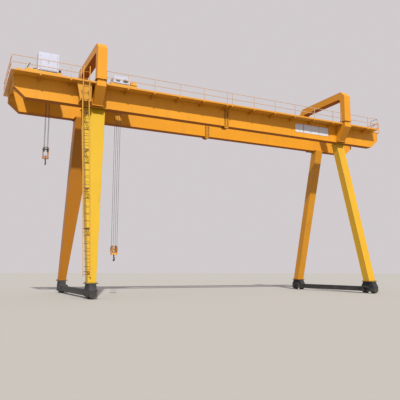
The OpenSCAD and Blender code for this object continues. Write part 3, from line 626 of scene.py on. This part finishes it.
leg_head_z = 12.04
leg_plan = {
    # Left and right edge of the head plate, its inner edge across, then the same for the foot plate
    "left": ((-10.44, -8.93), 0.73, (-10.525, -9.915), (3.97, 4.71)),
    "right": ((10.415, 11.245), 1.01, (10.415, 11.145), (3.97, 4.71)),
}
for label, (head_x, head_in, foot_x, foot_y) in leg_plan.items():
    seats, gussets = [], []
    head_count = 7 if label == "left" else 4
    for side in (-1, 1):
        for i in range(head_count):
            share = (i + 0.5) / head_count
            x = head_x[0] + (head_x[1] - head_x[0]) * share
            seats.append(((x, side * (girder_web - 0.04), leg_head_z), (0, 0, -1)))
        for x in (head_x[0] + 0.035, head_x[1] - 0.035):
            for i in range(4):
                seats.append(((x, side * (girder_web - 0.12 - i * 0.11), leg_head_z), (0, 0, -1)))
        for x in (foot_x[0] + 0.035, foot_x[1] - 0.035):
            for i in range(5):
                seats.append(((x, side * (foot_y[0] + 0.07 + i * 0.15), leg_base + 0.04), (0, 0, 1)))
        for i in range(3):
            x = foot_x[0] + (foot_x[1] - foot_x[0]) * (0.25 + 0.25 * i)
            seats.append(((x, side * (foot_y[1] - 0.035), leg_base + 0.04), (0, 0, 1)))
    bolts(label + "_leg_bolts", seats, head=0.024, length=0.03)

# Weld seams where the leg's side plates meet, followed from the foot plate to the head plate
for label, tone, rear_shaded_tone in (("left", left_leg_enamel, rear_left_shaded_enamel),
        ("right", right_leg_enamel, rear_right_shaded_enamel)):
    low_x, high_x = ((-10.455, -9.985), (-10.37, -9.0)) if label == "left" else ((10.485, 11.075),
            (10.485, 11.175))
    depth_head = 0.88 if label == "left" else 0.60
    beads = []
    for i in (0, 1):
        for low_y, high_y in ((4.629, 1.621), (4.029, 1.621 - depth_head)):
            beads.append(bar((low_x[i], -low_y, 0.935), (high_x[i], -high_y, 12.035), 0.009, 6))
    front = join(label + "_front_leg_welds", beads)
    rear = mirrored(front, label + "_rear_leg_welds", 1)
    # The rear welds take the rear legs' darker enamel, its painted shade included
    for piece, coat in ((front, tone), (rear, rear_shaded_tone)):
        paint(piece, coat)
        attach(piece, "gantry")


# The sill beams and wheel trucks: heavy plate boxes in dark grey paint at the foot of the legs.
# Each truck runs on two cast wheels; its axles are held by keeper plates, one wheel has a motor.

dark_grey = (0.018, 0.020, 0.026)
truck_paint, shader, wire = new_finish("truck_paint")
shader.inputs["Specular IOR Level"].default_value = 0.25
place, x, y, z = object_place(wire)
cloud = noise(place, 1.6, 5.0)
grain = noise(place, 16.0, 4.0)
dusty = step(z, 0.9, 0.0) * 0.35 + step(cloud, 0.5, 0.75) * 0.35
tone = tint(step(grain, 0.62, 0.72) * 0.6, tint(dusty, dark_grey, (0.085, 0.075, 0.065)), rust)
set_surface(wire, shader, tone, 0.48 + 0.3 * cloud, cloud * 0.7 + grain * 0.1, distance=0.006)
truck_nodes = ("truck_front_left", "truck_rear_left", "truck_front_right", "truck_rear_right")
for name in ("left_sill", "right_sill") + truck_nodes:
    paint(frame["nodes"][name], truck_paint)

axle_z = 0.25
axle_at = 0.36
truck_half_w = 0.21
for name in truck_nodes:
    low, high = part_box(name)
    x = (low.x + high.x) / 2
    y = (low.y + high.y) / 2
    out = -1 if x < 0 else 1
    shapes, seats = [], []
    for end in (-1, 1):
        at = y + end * axle_at
        for face in (-1, 1):
            skin = x + face * truck_half_w
            shapes.append(bar((skin, at, axle_z), (skin + face * 0.022, at, axle_z), 0.115, 24, 0.004))
            shapes.append(bar((skin + face * 0.018, at, axle_z), (skin + face * 0.046, at, axle_z), 0.075, 24,
                    0.006))
            for k in range(6):
                turn = math.radians(60 * k + 30)
                seats.append(((skin + face * 0.022, at + 0.097 * math.cos(turn),
                        axle_z + 0.097 * math.sin(turn)), (face, 0, 0)))
        # The rail sweep on the truck's end
        tip = y + end * 0.65
        low_y, high_y = sorted((tip - end * 0.03, tip - end * 0.001))
        shapes.append(block((x - 0.10, low_y, 0.045), (x + 0.10, high_y, 0.20), 0.006))
    # The travel motor with its cooling fins, on the side towards the gantry's middle
    inner = x - out * truck_half_w
    gear_y = y + (0.36 if y < 0 else -0.36)
    motor_z = 0.46
    low_x, high_x = sorted((inner, inner - out * 0.16))
    shapes.append(block((low_x, gear_y - 0.11, 0.14), (high_x, gear_y + 0.11, 0.56), 0.02))
    way = -1 if gear_y > y else 1
    motor_x = inner - out * 0.09
    shapes.append(bar((motor_x, gear_y + way * 0.10, motor_z), (motor_x, gear_y + way * 0.46, motor_z), 0.082,
            20, 0.006))
    for k in range(9):
        fin = gear_y + way * (0.14 + k * 0.03)
        shapes.append(bar((motor_x, fin, motor_z), (motor_x, fin + 0.008, motor_z), 0.094, 20))
    shapes.append(bar((motor_x, gear_y + way * 0.44, motor_z), (motor_x, gear_y + way * 0.50, motor_z), 0.088,
            20, 0.01))
    shapes.append(block((motor_x - 0.05, gear_y + way * 0.27 - 0.06, motor_z + 0.07),
            (motor_x + 0.05, gear_y + way * 0.27 + 0.06, motor_z + 0.125), 0.008))
    piece = join(name + "_fittings", shapes)
    paint(piece, truck_paint)
    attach(piece, "gantry")
    bolts(name + "_bolts", seats, head=0.013, length=0.016)


# The walkways: ribbed floor plate on triangular brackets outside the girders, with an edge
# channel that also stops feet; the railing posts stand in short sockets on it.

walk_edge = 2.64
walk_end = 14.16
walkway_enamel, shader, wire = new_finish("walkway_enamel", coat=0.08)
place, x, y, z = object_place(wire)
cloud = noise(place, 0.8, 4.0)
grain = noise(place, 9.0, 4.0)
facing = place.node("ShaderNodeNewGeometry", output="Normal")
up = facing.node("ShaderNodeSeparateXYZ", inputs={0: facing}, output=2)
# Raised lozenges of the floor plate: two sets of crossed short ribs
ribs = []
for turn in (0.785, -0.785):
    laid = place.node("ShaderNodeMapping",
            inputs={"Vector": place, "Rotation": (0, 0, turn), "Scale": (26, 90, 1)})
    ribs.append(laid.node("ShaderNodeTexWave", {"wave_type": "BANDS"},
            {"Vector": laid, "Scale": 0.35, "Distortion": 0.0}))
relief = ribs[0].math("MAXIMUM", ribs[1])
worn = step(cloud, 0.48, 0.66) * step(up, 0.5, 0.9)
tone = tint(worn * 0.6, tint(cloud, [c * 0.85 for c in yellow], yellow), (0.26, 0.20, 0.13))
tone = tint(step(grain, 0.66, 0.76), tone, rust)
set_surface(wire, shader, tone, 0.45 + 0.3 * worn,
            step(relief, 0.80, 0.95) * step(up, 0.5, 0.9) + grain * 0.1, distance=0.003)
for name in ("front_walkway", "rear_walkway", "left_end_platform", "right_end_platform"):
    paint(frame["nodes"][name], walkway_enamel)

post_middle, post_first, post_pitch = -0.14, 0.21, 1.85
post_row = [x for s in (-1, 1) for i in range(8) for x in [post_middle + s * (post_first + i * post_pitch)]]
runs = [(-14.75, -9.90), (-9.30, 10.28), (10.88, walk_end)]
bracket_row = [x for x in post_row for low, high in runs if low + 0.06 < x < high - 0.06]
shapes, seats = [], []
for x in bracket_row:
    # The socket below the railing post, clamped to the edge channel
    shapes.append(block((x - 0.055, -walk_edge + 0.001, 13.335), (x + 0.055, -walk_edge + 0.085, 13.418),
            0.006))
    for k in (-1, 1):
        seats.append(((x + k * 0.035, -walk_edge + 0.085, 13.375), (0, 1, 0)))
# The end strip that closes the edge channel at the right
shapes.append(block((walk_end - 0.102, -walk_edge, girder_top),
        (walk_end - 0.052, -girder_web - 0.04, girder_top + 0.06), 0.003))
front = join("front_walkway_brackets", shapes)
rear = mirrored(front, "rear_walkway_brackets", 1)
for piece in (front, rear):
    paint(piece, walkway_enamel)
    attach(piece, "gantry")
bolts("front_bracket_bolts", seats, head=0.012, length=0.014)
bolts("rear_bracket_bolts", [((x, -y, z), (0, -1, 0)) for (x, y, z), way in seats], head=0.012, length=0.014)


# The railings: bars and posts of small square tube, welded and painted with the rest. Each post
# has a foot plate with two bolts on the walkway's floor plate.

railing_enamel = enamel("railing_enamel", (0.44, 0.30, 0.21), dirt=0.2, gloss=0.5, under_shade=0.2)
for name in ("front_railing", "rear_railing"):
    paint(frame["nodes"][name], railing_enamel)
feet, seats = [], []
for x in bracket_row:
    feet.append(block((x - 0.06, -walk_edge + 0.002, girder_top),
            (x + 0.06, -walk_edge + 0.085, girder_top + 0.010), 0.003))
    for k in (-1, 1):
        seats.append(((x + k * 0.042, -walk_edge + 0.062, girder_top + 0.010), (0, 0, 1)))
front = join("front_railing_feet", feet)
rear = mirrored(front, "rear_railing_feet", 1)
for piece in (front, rear):
    paint(piece, railing_enamel)
    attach(piece, "gantry")
bolts("front_railing_bolts", seats, head=0.010, length=0.013)
bolts("rear_railing_bolts", [((x, -y, z), (0, 0, 1)) for (x, y, z), way in seats], head=0.010, length=0.013)


# The ladder: two flat stiles with round rungs up the front left leg, then upright past the
# walkway's edge. Welded and painted; the rungs are coloured dark brown as painted shade.

ladder_middle = -10.55
rung_half = 0.175
landing_enamel = enamel("landing_enamel", (0.50, 0.24, 0.03), dirt=0.35, gloss=0.42)
paint(frame["nodes"]["ladder_landing"], landing_enamel)

ladder_enamel, shader, wire = new_finish("ladder_enamel")
shader.inputs["Specular IOR Level"].default_value = 0.25
place, x, y, z = object_place(wire)
cloud = noise(place, 2.0, 4.0)
grain = noise(place, 14.0, 4.0)
off = (x - ladder_middle).math("ABSOLUTE", 0.0)
# Painted shade: between the stiles, across the rungs, the colour goes dark brown
between = 1.0 - step(off, rung_half - 0.004, rung_half + 0.002)
stile = tint(step(grain, 0.58, 0.74), tint(cloud, (0.46, 0.22, 0.03), (0.56, 0.29, 0.04)), rust)
tone = tint(between, stile, tint(grain, (0.055, 0.026, 0.014), (0.13, 0.055, 0.025)))
set_surface(wire, shader, tone, 0.45 + 0.2 * cloud + 0.1 * between, grain, distance=0.002)
paint(frame["nodes"]["leg_ladder"], ladder_enamel)


# The name plates: three bare sheet-metal plates, white enamelled, riveted to the front web in
# thin frames.

plate_white, shader, wire = new_finish("plate_white", coat=0.2)
place, x, y, z = object_place(wire)
cloud = noise(place, 1.2, 4.0)
streak = step(noise(place, 1.0, 4.0, (6, 6, 0.5)), 0.52, 0.8)
tone = tint(streak * 0.35 + cloud * 0.15, (0.52, 0.53, 0.60), (0.28, 0.25, 0.22))
set_surface(wire, shader, tone, 0.35 + 0.2 * cloud, cloud, distance=0.004)
paint(frame["nodes"]["name_plates"], plate_white)

plate_face = -girder_web - 0.012
rims, seats = [], []
for low_x, high_x in ((6.172, 6.919), (6.997, 8.469), (8.499, 9.418)):
    low_z, high_z = 12.47, 13.15
    rim = 0.022
    for low, high in (((low_x, low_z), (high_x, low_z + rim)), ((low_x, high_z - rim), (high_x, high_z)),
                      ((low_x, low_z), (low_x + rim, high_z)), ((high_x - rim, low_z), (high_x, high_z))):
        rims.append(block((low[0], plate_face - 0.008, low[1]), (high[0], plate_face + 0.002, high[1]),
                0.003))
    for x in (low_x + 0.06, (low_x + high_x) / 2, high_x - 0.06):
        for z in (low_z + 0.06, high_z - 0.06):
            seats.append(((x, plate_face, z), (0, -1, 0)))
piece = join("name_plate_rims", rims)
paint(piece, plate_white)
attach(piece, "gantry")
bolts("name_plate_rivets", seats, head=0.008, length=0.008)


# The trolleys: plate frames on four flanged wheels, with two cross beams under a deck of ribbed
# plate; the wheel axles sit in the carriages behind bolted covers.

trolley_middles = {1: -12.40, 2: -7.66}
carriage_y = 1.59
carriage_half_w = 0.13
deck_top = 13.9803
trolley_axle_z = 13.7003
trolley_ends = {1: (-14.10, -11.87), 2: (-8.70, -6.86)}
trolley_wheel_in = 0.25
cover_t = 0.018
cover_bolt_r = 0.055
trolley_enamel = enamel("trolley_enamel", (0.58, 0.30, 0.04), dirt=0.5, gloss=0.42)
wheel_steel = steel_finish("wheel_steel", (0.12, 0.09, 0.07), (0.34, 0.30, 0.27), 0.4, 0.85)
for k, middle in trolley_middles.items():
    paint(frame["nodes"][f"trolley_{k}_frame"], trolley_enamel)
    paint(frame["nodes"][f"trolley_{k}_wheels"], wheel_steel)
    left, right = trolley_ends[k]
    covers, seats, edging = [], [], []
    for side in (-1, 1):
        skin = side * carriage_y + side * carriage_half_w
        outside = skin + side * cover_t
        for x in (left + trolley_wheel_in, right - trolley_wheel_in):
            covers.append(bar((x, skin - side * 0.002, trolley_axle_z), (x, outside, trolley_axle_z),
                              0.075, 20, 0.004))
            for t in range(4):
                turn = math.radians(90 * t + 45)
                across = x + cover_bolt_r * math.cos(turn)
                seats.append(((across, outside, trolley_axle_z + cover_bolt_r * math.sin(turn)),
                        (0, side, 0)))
    for low, high in (((left, -1.72), (right, -1.70)), ((left, 1.70), (right, 1.72)),
                      ((left, -1.72), (left + 0.02, 1.72)), ((right - 0.02, -1.72), (right, 1.72))):
        edging.append(block((*low, deck_top - 0.001), (*high, deck_top + 0.05), 0.004))
    piece = join(f"trolley_{k}_covers", covers)
    paint(piece, trolley_enamel)
    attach(piece, f"trolley_{k}")
    piece = join(f"trolley_{k}_deck_edging", edging)
    paint(piece, trolley_enamel)
    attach(piece, f"trolley_{k}")
    bolts(f"trolley_{k}_cover_bolts", seats, head=0.010, length=0.012, body=f"trolley_{k}")


# The left trolley's deck parts: a slanted cable tow arm of tube on a foot plate at its left end, and
# two pressed-steel terminal boxes on the deck beside the cabinet, all in dark paint.

deck_dark, shader, wire = new_finish("deck_dark")
shader.inputs["Specular IOR Level"].default_value = 0.25
place, x, y, z = object_place(wire)
dust = noise(place, 6.0, 4.0)
set_surface(wire, shader, tint(step(dust, 0.45, 0.8), (0.030, 0.026, 0.030), (0.10, 0.08, 0.07)),
            0.6 + 0.2 * dust,
            dust, distance=0.002)
tow_foot_x, tow_y, tow_head_x = -14.03, -1.635, -13.85
shapes = [
    block((-14.09, -1.695, deck_top - 0.002), (-13.97, -1.575, deck_top + 0.014), 0.003),
    bar((tow_foot_x, tow_y, deck_top + 0.010), (tow_head_x, tow_y, 14.36), 0.026, 16, 0.004),
    bar((tow_head_x, -1.70, 14.35), (tow_head_x, -1.57, 14.35), 0.036, 16, 0.004)]
seats = [((tow_foot_x + sx * 0.045, tow_y + sy * 0.045, deck_top + 0.014), (0, 0, 1)) for sx in (-1, 1)
         for sy in (-1, 1)]
for low, high in (((-13.64, -1.69, deck_top - 0.002), (-13.44, -1.52, 14.10)),
                  ((-12.09, -1.69, deck_top - 0.002), (-11.93, -1.50, 14.22))):
    shapes.append(block(low, high, 0.008))
    # The lid with its rolled edge, and the cable gland in the box's side
    shapes.append(block((low[0] + 0.012, low[1] - 0.006, low[2] + 0.020),
            (high[0] - 0.012, low[1] + 0.002, high[2] - 0.014), 0.004))
    shapes.append(bar((high[0] - 0.05, high[1], low[2] + 0.06),
            (high[0] - 0.05, high[1] + 0.04, low[2] + 0.06), 0.016, 12, 0.003))
piece = join("trolley_1_deck_parts", shapes)
paint(piece, deck_dark)
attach(piece, "trolley_1")
bolts("trolley_1_tow_arm_bolts", seats, head=0.010, length=0.013, body="trolley_1")


# The winches: a grooved drum with its wraps of wire rope, a gearbox, a finned motor with its
# brake, and the bearing stand; cast and welded parts in dark machine grey.

drum_z = 14.3103
drum_pitch = 0.026
rope_radius = 0.012
drum_plan = {1: (0.160, 0.54, 4), 2: (0.220, 0.96, 5)}
winch_grey = steel_finish("winch_grey", (0.055, 0.06, 0.065), (0.13, 0.125, 0.12), 0.45, 0.2)

rope_steel, shader, wire = new_finish("rope_steel", metallic=0.6)
place, x, y, z = object_place(wire)
lay = place.node("ShaderNodeTexWave", {"wave_type": "BANDS", "bands_direction": "DIAGONAL"},
        {"Vector": place, "Scale": 18.0})
grease = noise(place, 3.0, 4.0)
tone = tint(step(grease, 0.4, 0.7), (0.045, 0.04, 0.038), (0.16, 0.14, 0.12))
set_surface(wire, shader, tone, 0.5 + 0.2 * lay, lay, distance=0.003)

for k, (wrap_r, drum_l, fall_turn) in drum_plan.items():
    middle = trolley_middles[k]
    paint(frame["nodes"][f"trolley_{k}_winch"], winch_grey)
    # Rope wraps from each fall outwards to the drum's end flange
    start_piece()
    bpy.ops.mesh.primitive_torus_add(major_radius=wrap_r, minor_radius=rope_radius, major_segments=28,
            minor_segments=6,
                                     rotation=(0, math.pi / 2, 0), location=(0, 0, 0))
    ring = settle(bpy.context.object)
    last = int((drum_l / 2 - 0.04) / drum_pitch - 0.5)
    places = [(middle + side * i * drum_pitch, 0, drum_z) for side in (-1, 1) for i in range(fall_turn, last)]
    wraps = join(f"trolley_{k}_rope_wraps", copies(ring, places))
    discard(ring)
    bpy.ops.object.shade_smooth_by_angle(angle=math.radians(40))
    paint(wraps, rope_steel)
    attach(wraps, f"trolley_{k}")
    # Motor fins, fan cowl and junction box, and ribs on the gearbox
    shapes, seats = [], []
    drum_r = wrap_r - rope_radius
    motor_y = drum_r + 0.22
    motor_z = drum_z - 0.06
    motor_end = middle + drum_l / 2 + 0.01 + 0.03
    for i in range(16):
        fin = motor_end - 0.10 - i * 0.027
        shapes.append(bar((fin, motor_y, motor_z), (fin - 0.008, motor_y, motor_z), 0.166, 28))
    cowl = motor_end - 0.62
    shapes.append(bar((cowl, motor_y, motor_z), (cowl + 0.09, motor_y, motor_z), 0.160, 28, 0.012))
    shapes.append(block((motor_end - 0.36, motor_y - 0.07, motor_z + 0.14),
            (motor_end - 0.18, motor_y + 0.07, motor_z + 0.21), 0.012))
    gear_x = middle + drum_l / 2 + 0.01
    for i in range(4):
        x = gear_x + 0.05 + i * 0.055
        shapes.append(block((x, -0.196, drum_z - 0.30), (x + 0.012, -0.189, drum_z + 0.15), 0.002))
    shapes.append(bar((gear_x + 0.235, 0, drum_z), (gear_x + 0.265, 0, drum_z), 0.10, 24, 0.008))
    for t in range(6):
        turn = math.radians(60 * t)
        seats.append(((gear_x + 0.264, 0.08 * math.cos(turn), drum_z + 0.08 * math.sin(turn)), (1, 0, 0)))
    piece = join(f"trolley_{k}_winch_fittings", shapes)
    paint(piece, winch_grey)
    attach(piece, f"trolley_{k}")
    bolts(f"trolley_{k}_winch_bolts", seats, head=0.011, length=0.014, body=f"trolley_{k}")


# The left trolley's cabinet: a sheet-steel weather housing over the winch controls, white
# enamelled, with a flat top, two doors, louvres and lever handles.

cabinet_white, shader, wire = new_finish("cabinet_white", coat=0.15)
place, x, y, z = object_place(wire)
cloud = noise(place, 0.9, 4.0)
streak = step(noise(place, 1.0, 4.0, (5, 5, 0.4)), 0.54, 0.8)
tone = tint(streak * 0.4 + cloud * 0.12, (0.43, 0.45, 0.58), (0.25, 0.22, 0.21))
set_surface(wire, shader, tone, 0.38 + 0.2 * cloud, cloud, distance=0.006)
paint(frame["nodes"]["trolley_1_cabinet"], cabinet_white)

cab_left, cab_right, cab_front, cab_low, cab_high = -13.36, -12.10, -1.738, 13.98, 15.22
shapes, dark_shapes = [], []
mid_x = (cab_left + cab_right) / 2
for low_x, high_x in ((cab_left + 0.10, mid_x - 0.012), (mid_x + 0.012, cab_right - 0.10)):
    shapes.append(block((low_x, cab_front - 0.010, cab_low + 0.11),
            (high_x, cab_front + 0.004, cab_high - 0.13), 0.008))
    for i in range(6):
        z = cab_high - 0.30 - i * 0.035
        shapes.append(block((low_x + 0.12, cab_front - 0.011, z),
                (high_x - 0.12, cab_front - 0.002, z + 0.012), 0.003))
for x in (mid_x - 0.05, mid_x + 0.03):
    dark_shapes.append(block((x, cab_front - 0.011, 14.50), (x + 0.02, cab_front - 0.004, 14.66), 0.004))
for x in (cab_left + 0.085, cab_right - 0.105):
    for z in (14.22, 14.58, 14.94):
        dark_shapes.append(bar((x + 0.01, cab_front - 0.006, z - 0.03),
                (x + 0.01, cab_front - 0.006, z + 0.03), 0.008, 8))
piece = join("cabinet_doors", shapes)
paint(piece, cabinet_white)
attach(piece, "trolley_1")
piece = join("cabinet_handles", dark_shapes)
paint(piece, winch_grey)
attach(piece, "trolley_1")


# The right trolley's cover: a white pressed-steel hood over the hoist, with two openings through
# which the dark machinery shows, framed by rolled rims.

paint(frame["nodes"]["trolley_2_cover"], cabinet_white)
hood_front = -1.72
shapes, dark_shapes = [], []
for centre_x, centre_z, half_x, half_z in ((-8.20, 14.20, 0.17, 0.10), (-7.68, 14.22, 0.20, 0.13)):
    start_piece()
    bpy.ops.mesh.primitive_torus_add(major_radius=1.0, minor_radius=0.10, major_segments=32, minor_segments=8,
                                     rotation=(math.pi / 2, 0, 0),
                                     location=(centre_x, hood_front + 0.004, centre_z))
    rim = bpy.context.object
    rim.scale = (half_x, half_z, 0.08)
    shapes.append(settle(rim))
    start_piece()
    bpy.ops.mesh.primitive_uv_sphere_add(segments=24, ring_count=12, radius=1.0,
            location=(centre_x, hood_front + 0.001, centre_z))
    bowl = bpy.context.object
    bowl.scale = (half_x * 0.96, 0.004, half_z * 0.96)
    dark_shapes.append(settle(bowl))
piece = join("hood_rims", shapes)
bpy.ops.object.shade_smooth_by_angle(angle=math.radians(50))
paint(piece, cabinet_white)
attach(piece, "trolley_2")
piece = join("hood_openings", dark_shapes)
paint(piece, winch_grey)
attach(piece, "trolley_2")


# The hoist ropes: six strands laid round a core, four falls to each block.

rope_plan = {1: (0.104, 0.160, 9.54), 2: (0.130, 0.220, 3.24)}
strand_lay = 0.36
rope_ease = 0.0003
for k, (spread_x, spread_y, block_top) in rope_plan.items():
    middle = trolley_middles[k]
    sheave_r = spread_y - rope_radius - rope_ease
    low_z = block_top - sheave_r
    length = drum_z - low_z
    start_piece()
    bpy.ops.mesh.primitive_circle_add(vertices=12, radius=rope_radius, location=(0, 0, 0))
    strand = bpy.context.object
    for i, v in enumerate(strand.data.vertices):
        if i % 2:
            v.co *= 0.80
    turns = round(length / strand_lay)
    lay = strand.modifiers.new("lay", "SCREW")
    lay.axis = "Z"
    lay.angle = 2 * math.pi
    lay.screw_offset = length / turns
    lay.iterations = turns
    lay.steps = lay.render_steps = 9
    lay.use_normal_calculate = True
    bpy.ops.object.modifier_apply(modifier="lay")
    bpy.ops.object.mode_set(mode="EDIT")
    bpy.ops.mesh.select_all(action="DESELECT")
    bpy.ops.mesh.select_mode(type="EDGE")
    bpy.ops.mesh.select_non_manifold(extend=False, use_wire=False, use_boundary=True, use_multi_face=False,
                                     use_non_contiguous=False, use_verts=False)
    bpy.ops.mesh.fill_holes(sides=0)
    bpy.ops.mesh.select_all(action="SELECT")
    bpy.ops.mesh.normals_make_consistent(inside=False)
    bpy.ops.object.mode_set(mode="OBJECT")
    places = [(middle + sx * spread_x, sy * spread_y, low_z) for sx in (-1, 1) for sy in (-1, 1)]
    falls = join(f"hoist_falls_{k}", copies(strand, places))
    discard(strand)
    bpy.ops.object.shade_smooth_by_angle(angle=math.radians(60))
    paint(falls, rope_steel)
    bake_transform(falls)
    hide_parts(f"hoist_ropes_{k}")
    # The rope's half turn under each sheave
    turns = []
    for sx in (-1, 1):
        start_piece()
        bpy.ops.mesh.primitive_torus_add(major_radius=spread_y, minor_radius=rope_radius, major_segments=40,
                minor_segments=8,
                                         rotation=(0, math.pi / 2, 0),
                                         location=(middle + sx * spread_x, 0, low_z))
        loop = settle(bpy.context.object)
        bpy.ops.object.mode_set(mode="EDIT")
        bpy.ops.mesh.select_all(action="SELECT")
        bpy.ops.mesh.bisect(plane_co=(0, 0, low_z), plane_no=(0, 0, 1), clear_outer=True, use_fill=True)
        bpy.ops.object.mode_set(mode="OBJECT")
        turns.append(loop)
    piece = join(f"sheave_rope_{k}", turns)
    bpy.ops.object.shade_smooth_by_angle(angle=math.radians(60))
    paint(piece, rope_steel)
    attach(piece, f"block_{k}")


# The hook blocks: heavy cheek plates round two sheaves, a crosshead below them for the hook. The
# small block is brown-orange with a greasy dark top, the large one yellow-orange.

block_plan = {1: (9.54, 0.79, 0.154, (0.34, 0.13, 0.03), (0.05, 0.035, 0.03)),
              2: (3.24, 0.60, 0.180, (0.66, 0.30, 0.035), (0.32, 0.14, 0.03))}
for k, (top, height, cheek_x, body_tone, top_tone) in block_plan.items():
    middle = trolley_middles[k]
    made, shader, wire = new_finish(f"block_{k}_enamel", coat=0.1)
    place, x, y, z = object_place(wire)
    cloud = noise(place, 5.0, 5.0)
    greasy = step(z + cloud * 0.08, top - height * 0.42, top - height * 0.30)
    chips = step(noise(place, 14.0, 5.0), 0.60, 0.68)
    tone = tint(chips, tint(greasy, body_tone, top_tone), (0.42, 0.30, 0.24) if k == 1 else rust)
    set_surface(wire, shader, tone, 0.45 + 0.25 * cloud, cloud + 0.5 * chips, distance=0.004)
    paint(frame["nodes"][f"hook_block_{k}"], made)
    # Nuts on the axle and the crosshead's trunnions, and the rope guards over the sheaves
    shapes, seats = [], []
    sheave_r = rope_plan[k][1] - rope_radius - rope_ease
    for side in (-1, 1):
        face = middle + side * (cheek_x + 0.02)
        for z, radius in ((top - sheave_r, 0.062), (top - height + 0.085, 0.048)):
            shapes.append(bar((face, 0, z), (face + side * 0.030, 0, z), radius, 6, 0.004))
            shapes.append(bar((face, 0, z), (face + side * 0.008, 0, z), radius * 1.2, 20))
        for y in (-0.06, 0.06):
            seats.append(((face, y, top - height + 0.20), (side, 0, 0)))
            seats.append(((face, y * 2.0, top - 0.12), (side, 0, 0)))
    guard_r = sheave_r + 0.035
    for turn in (50, 130):
        angle = math.radians(turn)
        y, z = guard_r * math.cos(angle) * 0.8, top - sheave_r + guard_r * math.sin(angle)
        z = min(z, top - 0.02)
        shapes.append(bar((middle - cheek_x, y, z), (middle + cheek_x, y, z), 0.012, 10))
    piece = join(f"block_{k}_fittings", shapes)
    paint(piece, made)
    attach(piece, f"block_{k}")
    bolts(f"block_{k}_bolts", seats, head=0.014, length=0.018, body=f"block_{k}")


# The hooks: forged and turned steel, dark with a rubbed bowl; a sprung latch closes the mouth.

# Height of each hook's bowl and its radius
hook_bowls = {1: (8.49, 0.11), 2: (2.37, 0.12)}
hook_steel = steel_finish("hook_steel", (0.045, 0.04, 0.038), (0.20, 0.18, 0.16), 0.4, 0.7)
for k, (centre, bowl_r) in hook_bowls.items():
    paint(frame["nodes"][f"hook_{k}"], hook_steel)
    middle = trolley_middles[k]
    hinge = (middle, 0.030, centre + bowl_r - 0.010)
    latch = [bar(hinge, (middle, 0.125, centre + 0.005), 0.009, 10, 0.002),
             bar((middle - 0.028, *hinge[1:]), (middle + 0.028, *hinge[1:]), 0.014, 12, 0.003)]
    piece = join(f"hook_{k}_latch", latch)
    paint(piece, hook_steel)
    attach(piece, f"hook_{k}")
